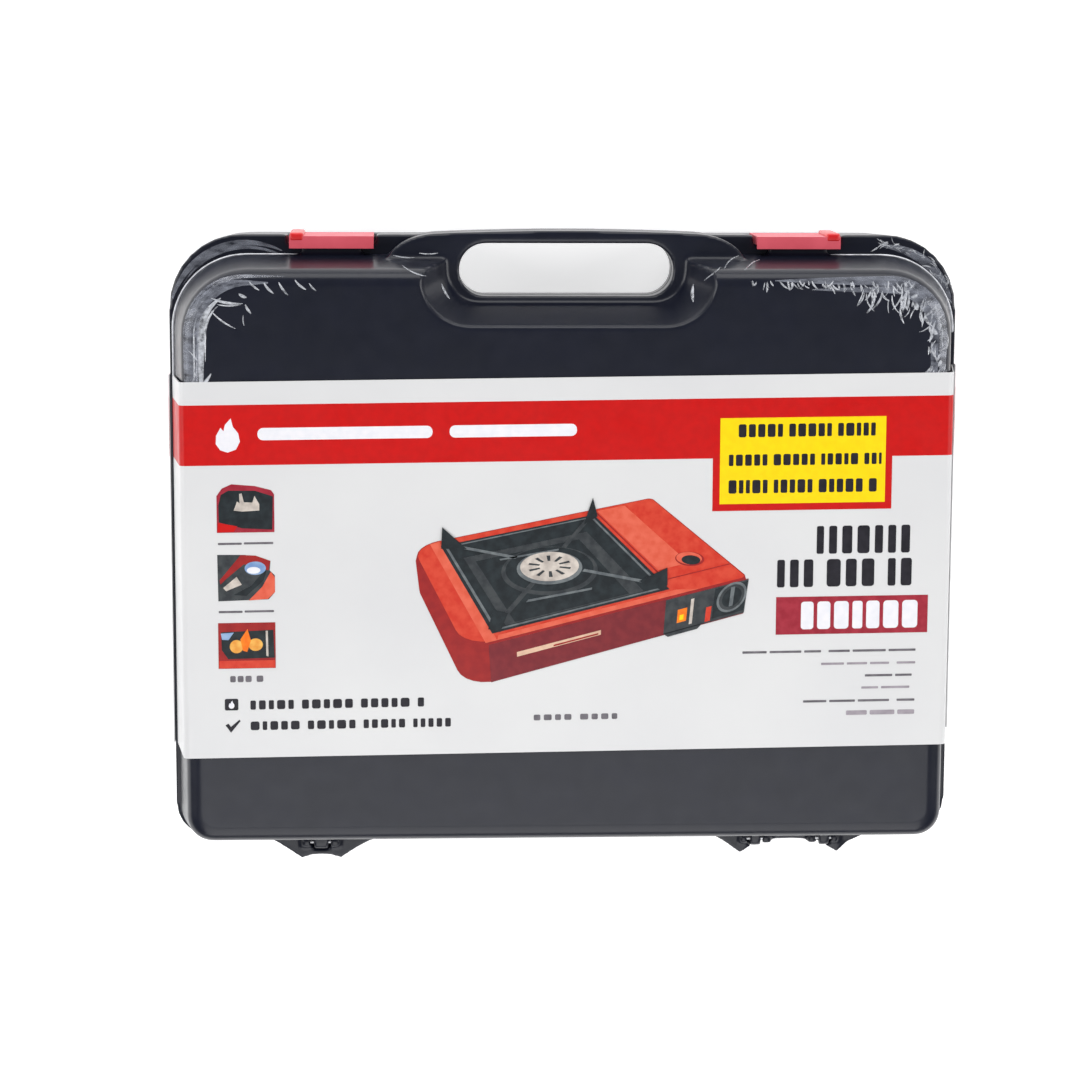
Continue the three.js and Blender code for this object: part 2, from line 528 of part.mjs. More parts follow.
function basePlate() {
  const inset = STOVE.sheet + TRAY.skin + GAP;
  let plate = toSolid(extruded(casingPlan(inset), STOVE.z0 + GAP, TRAY.top));
  for (const [x, y] of FEET) {
    plate = cut(plate, toSolid(rodZ(x, y, TRAY.screwHole, 0, 2 * TRAY.top, SMALL_SIDES)));
  }
  return plate;
}

function footAndScrew([x, y], i) {
  add(`foot_${i + 1}`, 'rubber', turned(FOOT_PROFILE, x, y, 16));
  add(`foot_screw_${i + 1}`, 'steel', turned(SCREW_PROFILE, x, y, 10));
}

function coverSection() {
  const { x0, low, sheet, r } = COVER;
  const x1 = STOVE.x1;
  const z1 = STOVE.z1;
  const shape = new THREE.Shape();
  shape.moveTo(x1, low);
  shape.absarc(x1 - r, z1 - r, r, 0, Math.PI / 2);
  shape.lineTo(x0, z1);
  shape.lineTo(x0, z1 - sheet);
  shape.absarc(x1 - r, z1 - r, r - sheet, Math.PI / 2, 0, true);
  shape.lineTo(x1 - sheet, low);
  shape.closePath();
  return shape;
}

function cartridgeCover() {
  let cover = toSolid(extrudedY(coverSection(), COVER.y0, COVER.y1));
  cover = join(cover, toSolid(rodZ(PEEP.x, PEEP.y, PEEP.ringR, STOVE.z1 - 0.6, STOVE.z1 + PEEP.proud, 28)));
  cover = cut(cover, toSolid(rodZ(PEEP.x, PEEP.y, PEEP.r, STOVE.z1 - 5, STOVE.z1 + 5, 24)));
  for (const [y0, y1] of COVER_LUGS) {
    const lug = rodY(COVER_HINGE.x, COVER_HINGE.z, COVER_HINGE.r, y0, y1, 12);
    const arm = polygon([[COVER_HINGE.x - 0.2, COVER_HINGE.z + 1.5], [COVER_HINGE.x + 1.2, COVER_HINGE.z - 2.4],
      [COVER.x0 + 0.2, STOVE.z1 - 1], [COVER.x0 + 6, STOVE.z1 - 1], [COVER.x0 + 6, STOVE.z1 + 0.6]]);
    cover = join(cover, toSolid(lug), toSolid(extrudedY(arm, y0, y1)));
  }
  return cut(cover, coverHingeBore());
}

function heatShield() {
  const { x, sheet, foot, y0, y1 } = SHIELD;
  const low = TRAY.top + GAP;
  const across = [x - 1, x + sheet + foot + 1];
  let wall = toSolid(box(x, x + sheet, y0, y1, low, STOVE.z1 - STOVE.sheet - GAP));
  wall = join(wall, toSolid(box(x, x + sheet + foot, y0, y1, low, low + sheet)));
  wall = cut(wall, toSolid(box(...across, SHIELD_NOTCH.y0, SHIELD_NOTCH.y1, low - 1, SHIELD_NOTCH.high)));
  const { count, long, pitch, z0, z1 } = SHIELD_VENTS;
  for (let i = 0; i < count; i += 1) {
    const start = SHIELD_VENTS.y0 + i * pitch;
    const vent = evenRound(start, start + long, z0, z1, (z1 - z0) / 2 - FUSE / 2);
    wall = cut(wall, toSolid(extrudedX(vent, ...across, ROUND_STEPS)));
  }
  return wall;
}

function housing() {
  add('stove_casing', 'red_paint', casing());
  add('base_plate', 'steel', basePlate());
  FEET.forEach(footAndScrew);
  add('cartridge_cover', 'red_paint', cartridgeCover());
  const { x, z, pinR, pin } = COVER_HINGE;
  add('cover_hinge_pin', 'steel', rodY(x, z, pinR, ...pin, SMALL_SIDES));
  add('heat_shield', 'aluminium', heatShield());
  const { x0, x1, z0, z1, sheet } = TRIM;
  const strip = evenRound(x0, x1, z0, z1, (z1 - z0) / 2 - FUSE / 2);
  add('front_slot_trim', 'steel', extrudedY(strip, STOVE.y0 - GAP - sheet, STOVE.y0 - GAP, 6));
}

// ---------------------------------------------------------------- burner

function burnerPan() {
  const { x, y } = BURNER;
  const { half, rimR, well, wellR, rimZ, floorZ, sheet, hole, lip } = PAN;
  const square = (h, r) => evenRound(x - h, x + h, y - h, y + h, r);
  let pan = toSolid(extruded(square(half, rimR), rimZ, rimZ + sheet));
  pan = join(pan, toSolid(extruded(square(well, wellR), floorZ, rimZ + sheet)));
  pan = cut(pan, toSolid(extruded(square(well - sheet, wellR - 1), floorZ + sheet, rimZ + 2 * sheet)));
  pan = join(pan, toSolid(rodZ(x, y, hole + sheet, floorZ, floorZ + lip, PAN_SIDES)));
  return cut(pan, toSolid(rodZ(x, y, hole, floorZ - 1, floorZ + PAST, PAN_SIDES)));
}

function panSupport() {
  const { x, y } = BURNER;
  const { half, z, bar, high, armEnd, prongLow } = SUPPORT;
  const square = (h, r) => evenRound(x - h, x + h, y - h, y + h, r);
  let frame = cut(toSolid(extruded(square(half, 9), z, z + high)),
    toSolid(extruded(square(half - bar, 6), z - 1, z + high + 1)));
  for (let i = 0; i < 4; i += 1) {
    const corner = Math.PI / 4 + i * Math.PI / 2;
    const reach = half * Math.SQRT2 - 6;
    const place = (geometry) => toSolid(geometry.rotateZ(corner).translate(x, y, 0));
    frame = join(frame, place(box(armEnd, reach, -bar / 2, bar / 2, z, z + high)));
    const prong = polygon([[reach - PRONG.out, z + 1], [reach - PRONG.shoulder, prongLow + PRONG.shoulderUp],
      [reach - PRONG.tip, prongLow], [reach - PRONG.edge, prongLow + 1], [reach - PRONG.foot, z + 1]]);
    const blade = extruded(prong, -bar / 2 + PRONG.waist, bar / 2 - PRONG.waist).rotateX(Math.PI / 2);
    frame = join(frame, place(blade));
  }
  return frame;
}

function burnerParts() {
  const { x, y } = BURNER;
  add('burner_pan', 'black_enamel', burnerPan());
  add('pan_support', 'black_enamel', panSupport());
  const port = rodY(x, HEAD_PORT.z, HEAD_PORT.r, y + HEAD_PORT.y0, y + HEAD_PORT.y1, 16);
  add('burner_head', 'aluminium', cut(toSolid(turned(HEAD_PROFILE, x, y, 28)), toSolid(port)));
  let cap = toSolid(turned(CAP_PROFILE, x, y, 28));
  const { count, r0, r1, half, low, high } = CAP_SLOTS;
  for (let i = 0; i < count; i += 1) {
    const slot = box(r0, r1, -half, half, low, high).rotateZ(i * 2 * Math.PI / count).translate(x, y, 0);
    cap = cut(cap, toSolid(slot));
  }
  add('burner_cap', 'chrome', cap);
  const { x0, x1, y0, y1, z0, z1 } = ELECTRODE_SHELF;
  const stand = extrudedY(polygon(STAND_PROFILE), -STAND_HALF, STAND_HALF).translate(x, y, 0);
  add('burner_stand', 'steel', join(toSolid(stand), toSolid(box(x + x0, x + x1, y + y0, y + y1, z0, z1))));
  add('electrode', 'ceramic', turned(ELECTRODE_PROFILE, ELECTRODE.x, ELECTRODE.y, SMALL_SIDES));
}

function pipe(points, radius, bore, steps, sides) {
  const curve = new THREE.CatmullRomCurve3(points.map((p) => new THREE.Vector3(...p)), false, 'centripetal');
  const section = new THREE.Shape();
  section.absarc(0, 0, radius, 0, 2 * Math.PI);
  if (bore) {
    const hole = new THREE.Path();
    hole.absarc(0, 0, bore, 0, 2 * Math.PI, true);
    section.holes.push(hole);
  }
  return new THREE.ExtrudeGeometry(section, { steps, extrudePath: curve, curveSegments: sides / 2 });
}

// ---------------------------------------------------------------- gas supply and controls

function igniter() {
  const { x0, x1, y0, y1, z0, z1, knobR, knobX } = IGNITER;
  const striker = rodX((y0 + y1) / 2, (z0 + z1) / 2, knobR, x1 - 1, knobX, 16);
  return join(toSolid(box(x0, x1, y0, y1, z0, z1)), toSolid(striker));
}

function gasSupply() {
  const { x0, x1, y0, y1, z0, z1, capX, capY } = REGULATOR;
  let block = toSolid(box(x0, x1, y0, y1, z0, z1));
  block = join(block, toSolid(rodY(INLET.x, INLET.z, INLET.r, y1 - 1, y1 + INLET.proud, 24)));
  block = cut(block, toSolid(rodY(INLET.x, INLET.z, INLET.bore, y1 - INLET.deep, y1 + PAST, 20)));
  block = cut(block, toSolid(rodY(KNOB.x, KNOB.z, KNOB.shaftR + 0.7, y0 - 1, y0 + 6, 20)));
  block = join(block, toSolid(rodX(JET.y, JET.z, JET.r, x0 - JET.out, x0 + 1, 20)));
  add('regulator_body', 'brass', block);
  add('regulator_cap', 'steel', turned(REGULATOR_CAP_PROFILE, capX, capY, 24));
  add('inlet_seal', 'rubber', new THREE.TorusGeometry(SEAL.r, SEAL.thick, 8, 16)
    .rotateX(Math.PI / 2).translate(INLET.x, y1 - SEAL.in, INLET.z));
  add('mixing_tube', 'steel', pipe(TUBE_PATH, TUBE.r, TUBE.bore, 14, SMALL_SIDES));
  add('igniter_unit', 'dark_plastic', igniter());
  add('ignition_lead', 'rubber', pipe(LEAD_PATH, LEAD_R, 0, 30, 8));
}

function cradle(y) {
  const { x0, x1, high, half, seatR, seatUp } = CRADLE;
  const block = toSolid(box(x0, x1, y - half, y + half, ON_TRAY, high));
  return cut(block, toSolid(rodY(INLET.x, INLET.z + seatUp, seatR, y - half - 1, y + half + 1, 48)));
}

function cartridgeFittings() {
  for (const [place, y] of Object.entries(CRADLES)) add(`cradle_${place}`, 'steel', cradle(y));
  const { x0, x1, y0, y1, sheet, up } = CONDUCTOR;
  const plate = join(
    toSolid(box(x0, x1, y0, y1, ON_TRAY, ON_TRAY + sheet)),
    toSolid(box(x0, x0 + sheet, y0, y1, ON_TRAY, up)),
  );
  add('heat_conduction_plate', 'aluminium', plate);
  const { half, z0, z1, r, neck } = COLLAR;
  const through = [COLLAR.y0 - PAST, COLLAR.y1 + PAST];
  let collar = toSolid(extrudedY(evenRound(INLET.x - half, INLET.x + half, z0, z1, r), COLLAR.y0, COLLAR.y1));
  collar = cut(collar, toSolid(rodY(INLET.x, INLET.z, neck, ...through, 24)));
  collar = cut(collar, toSolid(box(INLET.x - neck, INLET.x + neck, ...through, INLET.z, z1 + PAST)));
  add('cartridge_collar', 'steel', collar);
}

function controlFascia() {
  const { x0, x1, y0, y1, z0, z1 } = FASCIA;
  let plate = toSolid(extrudedY(evenRound(x0, x1, z0, z1, 5), y0, y1));
  const slot = LEVER.stem + 1;
  plate = cut(plate, toSolid(box(LEVER.x - slot, LEVER.x + slot, y0 - 1, y1 + 1,
    LEVER.z0 - LEVER.travel - 1, LEVER.z1 + 2)));
  plate = cut(plate, toSolid(rodY(KNOB.x, KNOB.z, KNOB.shaftHole, y0 - 1, y1 + 1)));
  const pane = WINDOW;
  const { free } = pane;
  const deep = y0 + pane.deep + free;
  const seat = box(pane.x0 - free, pane.x1 + free, y0 - 1, deep, pane.z0 - free, pane.z1 + free);
  return cut(plate, toSolid(seat));
}

// A lathe turned about an axis along Y, from a profile of [radius, depth] behind the front at y.
function turnedY(profile, x, y, z, sides) {
  const points = profile.map(([radius, depth]) => new THREE.Vector2(radius, depth));
  return new THREE.LatheGeometry(points, sides).translate(x, y, z);
}

function controlKnob() {
  const { x, z, r, y0, y1, gripHalf, gripDeep, flutes, fluteR } = KNOB;
  const profile = [[0, 0], [r - 3, 0], [r - 1, 1.2], [r, 3], [r, y1 - y0], [0, y1 - y0]];
  let knob = toSolid(turnedY(profile, x, y0, z, 40));
  for (let i = 0; i < flutes; i += 1) {
    const angle = i * 2 * Math.PI / flutes;
    const out = r + 0.6 * fluteR;
    const flute = rodY(x + out * Math.cos(angle), z + out * Math.sin(angle), fluteR, y0 - 1, y1 - 2.5, 8);
    knob = cut(knob, toSolid(flute));
  }
  knob = cut(knob, toSolid(box(x - r, x - gripHalf, y0 - 1, y0 + gripDeep, z - r, z + r)));
  knob = cut(knob, toSolid(box(x + gripHalf, x + r, y0 - 1, y0 + gripDeep, z - r, z + r)));
  knob = join(knob, toSolid(rodY(x, z, r - 3.2, y0 + gripDeep - GAP, y1 - 1, 32)));
  return cut(knob, toSolid(rodY(x, z, KNOB.shaftR + 0.4, y1 - 5, y1 + 1, 16)));
}

function controls() {
  add('control_fascia', 'dark_plastic', controlFascia());
  const { x0, x1, proud, deep } = WINDOW;
  const { y0 } = FASCIA;
  add('spark_window', 'amber_plastic', box(x0, x1, y0 - proud, y0 + deep, WINDOW.z0, WINDOW.z1));
  add('knob_bezel', 'chrome', turnedY(BEZEL_PROFILE, KNOB.x, y0 - 2 - GAP, KNOB.z, 32));
  add('control_knob', 'dark_plastic', controlKnob());
  add('knob_spindle', 'brass', rodY(KNOB.x, KNOB.z, KNOB.shaftR, KNOB.y1 - 4.6, REGULATOR.y0 + 5.4, 16));
  const { x, z0, z1, half, stem, y } = LEVER;
  const paddle = extrudedY(evenRound(x - half, x + half, z0, z1, 2), y[0], y[1]);
  const stalk = box(x - stem, x + stem, y[1] - 1, y[2], z0 + 4, z1 - 4);
  add('lock_lever', 'chrome', join(toSolid(paddle), toSolid(stalk)));
}

carryCase();
housing();
burnerParts();
gasSupply();
cartridgeFittings();
controls();

export default root;
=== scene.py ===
"""A one-burner camping stove packed in its moulded carry case, with a printed card wrap round the case.

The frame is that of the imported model: X right, Y towards the handle, Z up and out of the lid.
Helpers take millimetres in that frame; Blender's own units are metres.
"""
import json
import math
import random

import bmesh
import bpy
from mathutils import Matrix, Vector
from mathutils.bvhtree import BVHTree


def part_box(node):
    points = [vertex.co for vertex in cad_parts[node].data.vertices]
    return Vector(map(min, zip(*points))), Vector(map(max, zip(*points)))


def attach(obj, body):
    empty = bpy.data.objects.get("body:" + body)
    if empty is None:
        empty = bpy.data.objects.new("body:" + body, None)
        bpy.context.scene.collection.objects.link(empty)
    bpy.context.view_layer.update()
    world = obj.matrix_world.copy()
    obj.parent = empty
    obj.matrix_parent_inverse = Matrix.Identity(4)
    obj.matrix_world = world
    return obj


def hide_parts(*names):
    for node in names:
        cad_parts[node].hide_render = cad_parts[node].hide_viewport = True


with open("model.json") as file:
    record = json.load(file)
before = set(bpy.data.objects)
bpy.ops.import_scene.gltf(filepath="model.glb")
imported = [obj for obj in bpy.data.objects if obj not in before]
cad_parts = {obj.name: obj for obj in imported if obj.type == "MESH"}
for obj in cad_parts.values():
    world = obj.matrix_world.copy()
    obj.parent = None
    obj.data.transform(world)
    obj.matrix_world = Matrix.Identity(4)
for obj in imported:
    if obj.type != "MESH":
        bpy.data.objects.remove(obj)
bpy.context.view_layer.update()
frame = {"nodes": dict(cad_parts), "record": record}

MM = 0.001
SCENE = bpy.context.scene
NODES = frame["nodes"]


def extent(node):
    """Lowest and highest corners of a CAD node, in millimetres."""
    low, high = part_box(node)
    return Vector(low) / MM, Vector(high) / MM


# ------------------------------------------------------------------ materials

def colour(r, g, b):
    """Linear colour from the 0 to 255 values of a display."""
    def linear(v):
        v /= 255
        return v / 12.92 if v <= 0.04045 else ((v + 0.055) / 1.055) ** 2.4
    return (linear(r), linear(g), linear(b), 1.0)


NOISE_SPAN = (0.3, 0.7)


class Finish:
    """A procedural material built round one Principled shader, in object coordinates."""

    def __init__(self, name, base, roughness, metallic=0.0, **sockets):
        self.material = bpy.data.materials.new(name)
        self.material.use_nodes = True
        self.nodes = self.material.node_tree.nodes
        self.links = self.material.node_tree.links
        self.shader = self.nodes["Principled BSDF"]
        self.shader.inputs["Base Color"].default_value = base
        self.shader.inputs["Roughness"].default_value = roughness
        self.shader.inputs["Metallic"].default_value = metallic
        for socket, value in sockets.items():
            self.shader.inputs[socket.replace("_", " ")].default_value = value
        self.base = base
        self.place = self.nodes.new("ShaderNodeTexCoord").outputs["Object"]
        self.normal = None

    def pattern(self, scale, detail, stretch):
        """A grey noise with features of about 1 / scale metres, nearly all of it within NOISE_SPAN."""
        mapping = self.nodes.new("ShaderNodeMapping")
        mapping.inputs["Scale"].default_value = stretch
        self.links.new(self.place, mapping.inputs["Vector"])
        node = self.nodes.new("ShaderNodeTexNoise")
        node.inputs["Scale"].default_value = scale
        node.inputs["Detail"].default_value = detail
        self.links.new(mapping.outputs["Vector"], node.inputs["Vector"])
        return node.outputs["Fac"]

    def vary_colour(self, scale, other, detail=4.0, stretch=(1, 1, 1), low=0.35, high=0.65):
        """Mottles the base colour towards another one."""
        node = self.nodes.new("ShaderNodeValToRGB")
        for element, position, shade in zip(node.color_ramp.elements, (low, high), (self.base, other)):
            element.position = position
            element.color = shade
        self.links.new(self.pattern(scale, detail, stretch), node.inputs["Fac"])
        self.links.new(node.outputs["Color"], self.shader.inputs["Base Color"])
        return self

    def vary(self, socket, scale, low, high, detail=4.0, stretch=(1, 1, 1)):
        """Lets a plain value wander between two limits."""
        node = self.nodes.new("ShaderNodeMapRange")
        node.inputs["From Min"].default_value = NOISE_SPAN[0]
        node.inputs["From Max"].default_value = NOISE_SPAN[1]
        node.inputs["To Min"].default_value = low
        node.inputs["To Max"].default_value = high
        self.links.new(self.pattern(scale, detail, stretch), node.inputs["Value"])
        self.links.new(node.outputs["Result"], self.shader.inputs[socket])
        return self

    def bump(self, scale, height_mm, detail=3.0, stretch=(1, 1, 1)):
        node = self.nodes.new("ShaderNodeBump")
        node.inputs["Distance"].default_value = height_mm * MM
        self.links.new(self.pattern(scale, detail, stretch), node.inputs["Height"])
        if self.normal:
            self.links.new(self.normal, node.inputs["Normal"])
        self.normal = node.outputs["Normal"]
        self.links.new(self.normal, self.shader.inputs["Normal"])
        return self


# each ink's colour and the one that it is mottled towards
INKS = {
    "red": ((202, 10, 8), (194, 9, 8)),
    "yellow": ((252, 218, 0), (248, 212, 0)),
    "black": ((26, 24, 32), (36, 34, 42)),
    "white": ((240, 238, 242), (232, 232, 238)),
    "crimson": ((150, 30, 48), (166, 44, 60)),
    "grey": ((96, 92, 98), (116, 112, 118)),
    "pale_grey": ((150, 142, 150), (166, 158, 166)),
    "stove_red": ((204, 52, 34), (214, 72, 50)),
    "stove_salmon": ((226, 104, 80), (218, 88, 64)),
    "stove_shade": ((128, 40, 46), (116, 34, 42)),
    "stove_deep": ((160, 36, 34), (146, 30, 32)),
    "pan_dark": ((38, 46, 50), (26, 32, 36)),
    "pan_mid": ((66, 70, 72), (48, 52, 56)),
    "pan_light": ((118, 124, 126), (90, 96, 100)),
    "pale": ((214, 204, 194), (178, 168, 160)),
    "orange": ((250, 138, 30), (240, 110, 20)),
    "blue": ((150, 176, 210), (112, 146, 196)),
    "tan": ((228, 192, 164), (214, 176, 150)),
    "amber": ((240, 186, 92), (228, 150, 60)),
}


def make_materials():
    made = {}

    def keep(key, finish):
        made[key] = finish.material

    keep("case", Finish("case_polyethylene", colour(20, 23, 35), 0.3, Coat_Weight=0.12, Coat_Roughness=0.12,
                        Specular_IOR_Level=0.36)
         .vary_colour(70, colour(22, 25, 38)).vary("Roughness", 120, 0.28, 0.34).bump(900, 0.01, 4))
    keep("card", Finish("card_white", colour(221, 221, 221), 0.4,
                        Coat_Weight=0.15, Coat_Roughness=0.15)
         .vary_colour(12, colour(216, 216, 217)).vary("Roughness", 90, 0.34, 0.48)
         .bump(1300, 0.012).bump(12, 0.16, 2))
    for key, (shade, other) in INKS.items():
        keep(f"ink_{key}", Finish(f"ink_{key}", colour(*shade), 0.38, Coat_Weight=0.1, Coat_Roughness=0.15,
                                  Specular_IOR_Level=0.25)
             .vary_colour(240, colour(*other), 2).vary("Roughness", 90, 0.32, 0.46).bump(1300, 0.012))
    # painted highlight: a near-white, partly opaque colour on the clear film's creases stands in for the
    # light that they catch; the ridges themselves are real geometry
    keep("film", Finish("shrink_film_crease_painted_highlight", colour(214, 217, 224), 0.2,
                        Coat_Weight=1.0, Coat_Roughness=0.08)
         .vary("Alpha", 420, 0.08, 0.9, 3).bump(900, 0.1))
    # painted sheen: a pale grey, mostly see-through, laid in broad bands over the dark case stands in for
    # the reflection along its edges
    keep("film_sheen", Finish("shrink_film_painted_sheen", colour(150, 154, 166), 0.3,
                              Coat_Weight=1.0, Coat_Roughness=0.15)
         .vary("Alpha", 130, 0.02, 0.6, 5, (1, 2.4, 1)).bump(240, 0.5, 4))
    # painted sheen: the latch's red is lightened to pink, standing in for its gloss; the latch grip keeps
    # the plain red
    keep("latch", Finish("latch_red_painted_sheen", colour(224, 88, 104), 0.5,
                         Coat_Weight=0.2, Coat_Roughness=0.3)
         .vary_colour(80, colour(216, 80, 96)).vary("Roughness", 120, 0.46, 0.56).bump(700, 0.02))
    keep("latch_grip", Finish("latch_grip_red", colour(222, 24, 30), 0.4,
                              Coat_Weight=0.3, Coat_Roughness=0.15)
         .vary_colour(80, colour(212, 20, 26)).vary("Roughness", 120, 0.34, 0.46).bump(700, 0.02))
    keep("red_paint", Finish("stove_enamel_red", colour(190, 26, 20), 0.26,
                             Coat_Weight=0.8, Coat_Roughness=0.06)
         .vary_colour(14, colour(180, 22, 18)).vary("Roughness", 50, 0.22, 0.34).bump(420, 0.02, 2))
    keep("black_enamel", Finish("pan_enamel_black", colour(22, 23, 26), 0.22,
                                Coat_Weight=0.6, Coat_Roughness=0.07)
         .vary_colour(40, colour(34, 35, 39)).vary("Roughness", 70, 0.16, 0.36).bump(380, 0.05, 2))
    keep("steel", Finish("sheet_steel", colour(176, 178, 182), 0.32, 1.0)
         .vary_colour(30, colour(150, 153, 158)).vary("Roughness", 60, 0.24, 0.42)
         .bump(300, 0.012, 2, (1, 14, 1)))
    keep("pin", Finish("pin_zinc", colour(184, 186, 190), 0.3, 1.0)
         .vary_colour(200, colour(150, 150, 152)).vary("Roughness", 200, 0.24, 0.44).bump(900, 0.01))
    keep("aluminium", Finish("cast_aluminium", colour(176, 178, 182), 0.46, 1.0)
         .vary_colour(60, colour(148, 150, 155)).vary("Roughness", 160, 0.36, 0.6).bump(700, 0.06, 4))
    keep("chrome", Finish("polished_chrome", colour(222, 224, 228), 0.1, 1.0)
         .vary_colour(90, colour(204, 206, 212)).vary("Roughness", 140, 0.07, 0.18).bump(240, 0.006, 2))
    keep("brass", Finish("machined_brass", colour(206, 168, 88), 0.28, 1.0)
         .vary_colour(70, colour(182, 142, 66)).vary("Roughness", 110, 0.2, 0.4)
         .bump(500, 0.012, 2, (12, 1, 1)))
    keep("control", Finish("control_plastic", colour(42, 44, 50), 0.46)
         .vary_colour(60, colour(52, 54, 60)).vary("Roughness", 150, 0.4, 0.56).bump(1500, 0.05, 4))
    keep("amber", Finish("amber_lens", colour(244, 132, 26), 0.12,
                         Coat_Weight=0.6, Coat_Roughness=0.04)
         .vary_colour(160, colour(250, 170, 40)).vary("Roughness", 200, 0.1, 0.18).bump(500, 0.02))
    keep("rubber", Finish("rubber_black", colour(30, 30, 31), 0.8)
         .vary_colour(120, colour(40, 40, 41)).vary("Roughness", 200, 0.7, 0.88).bump(1200, 0.06, 4))
    keep("ceramic", Finish("glazed_ceramic", colour(234, 230, 218), 0.18,
                           Coat_Weight=0.4, Coat_Roughness=0.05)
         .vary_colour(200, colour(220, 212, 196)).vary("Roughness", 260, 0.14, 0.24).bump(700, 0.01))
    # painted highlight: a near-white, mostly opaque line along the lid's lower edge stands in for the light
    # caught there
    keep("film_rim_highlight", Finish("shrink_film_rim_highlight", colour(236, 238, 244), 0.35,
                             Coat_Weight=0.5, Coat_Roughness=0.1)
         .vary("Alpha", 300, 0.6, 1.0, 3).bump(700, 0.05))
    keep("floor", Finish("studio_floor", colour(250, 250, 250), 0.9, Emission_Color=(1, 1, 1, 1),
                         Emission_Strength=0.42)
         .vary("Roughness", 3, 0.85, 0.95))
    return made


MATERIALS = make_materials()
SLOT_FINISH = {
    "case_plastic": "case", "latch_plastic": "latch", "printed_card": "card", "pin_steel": "pin",
    "red_paint": "red_paint", "sheet_steel": "steel", "black_enamel": "black_enamel",
    "cast_aluminium": "aluminium", "chrome_trim": "chrome", "brass_fitting": "brass",
    "control_plastic": "control", "amber_lens": "amber", "rubber": "rubber", "white_ceramic": "ceramic",
}


# ------------------------------------------------------------------ mesh helpers

def link(name, mesh, *materials):
    piece = bpy.data.objects.new(name, mesh)
    SCENE.collection.objects.link(piece)
    if materials:
        mesh.materials.clear()
        for key in materials:
            mesh.materials.append(MATERIALS[key])
    return piece


def applied(piece):
    """Bakes a piece's modifiers into its mesh."""
    bpy.context.view_layer.update()
    graph = bpy.context.evaluated_depsgraph_get()
    mesh = bpy.data.meshes.new_from_object(piece.evaluated_get(graph))
    old = piece.data
    piece.modifiers.clear()
    piece.data = mesh
    bpy.data.meshes.remove(old)
    return piece


def modifier(piece, kind, **settings):
    made = piece.modifiers.new(kind.lower(), kind)
    for key, value in settings.items():
        setattr(made, key, value)
    return made


def smooth(piece, angle=35):
    piece.data.shade_smooth()
    piece.data.set_sharp_from_angle(angle=math.radians(angle))
    return piece


def own(piece, body, slot, *nodes):
    """Says which body a piece rides on and the CAD nodes that it stands for; its record slot is not used.
    """
    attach(piece, body)
    if nodes:
        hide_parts(*nodes)
    return piece


def mesh_of(name, vertices_mm, faces, inks=None):
    """A mesh from millimetre points, its faces turned outwards, with a material index for each face."""
    mesh = bpy.data.meshes.new(name)
    mesh.from_pydata([Vector(v) * MM for v in vertices_mm], [], faces)
    if inks:
        for face, ink in zip(mesh.polygons, inks):
            face.material_index = ink
    fix = bmesh.new()
    fix.from_mesh(mesh)
    bmesh.ops.recalc_face_normals(fix, faces=fix.faces)
    fix.to_mesh(mesh)
    fix.free()
    return mesh


# ------------------------------------------------------------------ carry case

VOXEL = 1.0                       # size of the cells that a shell is remeshed in
SOFTENING = 8                     # passes that round its edges
KEPT_FACES = 0.3                  # share of its faces kept afterwards


def moulded(node, name):
    """A CAD shell with its edges rounded as blow moulding leaves them."""
    piece = link(name, NODES[node].data.copy())
    modifier(piece, "REMESH", mode="VOXEL", voxel_size=VOXEL * MM)
    modifier(piece, "SMOOTH", factor=0.5, iterations=SOFTENING)
    modifier(piece, "DECIMATE", ratio=KEPT_FACES)
    applied(piece)
    piece.data.materials.clear()
    piece.data.materials.append(MATERIALS["case"])
    piece.data.shade_smooth()
    return piece


# ------------------------------------------------------------------ card wrap

SKEW = 0.0124                     # the card sits slightly askew round the case
PRINT_UP = 5.0                    # from the card's middle up to the line that print is set out from
WRAP_LOW, WRAP_HIGH = extent("wrap_front")
CARD_Y = (WRAP_LOW.y + WRAP_HIGH.y) / 2 + PRINT_UP
CARD = 0.55                       # thickness of the card
CARD_ROWS = 40
INK = 0.05                        # thickness of a layer of print
BAND = (CARD_Y + 45.5, CARD_Y + 74)    # the red band round the wrap, from its low edge to its high one
BAND_ROWS = 6
FOLD = 3.4                        # radius of the card's folds
FOLD_STEPS = 8
DRAFT = {"wrap_front": 5.0, "wrap_back": 2.5}    # how far the sides lean in between rim and face


def wrap_path(node, grow):
    """Points (x, z) round the outer side of one half of the wrap, from rim to rim, with rounded folds."""
    low, high = extent(node)
    away = 1 if node == "wrap_front" else -1
    rim_z, face_z = (low.z, high.z) if away > 0 else (high.z, low.z)
    fold_x = high.x - DRAFT[node] - FOLD
    side = [(high.x + grow, rim_z)]
    reach = FOLD + grow
    for step in range(FOLD_STEPS + 1):
        angle = math.radians(90 * step / FOLD_STEPS)
        side.append((fold_x + reach * math.cos(angle), face_z + away * (reach * math.sin(angle) - FOLD)))
    return side + [(-x, z) for x, z in reversed(side)]


def band(name, node, y0, y1, grow, depth, key, rows):
    """A strip of card or ink round one half of the case, between two heights, its thickness inwards."""
    outer = wrap_path(node, grow)
    inner = wrap_path(node, grow - depth)
    ring = outer + inner[::-1]
    count = len(ring)
    vertices = []
    for row in range(rows + 1):
        y = y0 + (y1 - y0) * row / rows
        vertices += [(x, y + SKEW * x, z) for x, z in ring]
    faces = []
    for row in range(rows):
        for i in range(count):
            a = row * count + i
            b = row * count + (i + 1) % count
            faces.append((a, b, b + count, a + count))
    for base in (0, rows * count):
        for i in range(len(outer) - 1):
            faces.append((base + i, base + i + 1, base + count - 2 - i, base + count - 1 - i))
    return smooth(link(name, mesh_of(name, vertices, faces), key))


def circle(x, y, rx, ry, sides):
    """Points round an ellipse."""
    turns = [2 * math.pi * i / sides for i in range(sides)]
    return [(x + rx * math.cos(a), y + ry * math.sin(a)) for a in turns]


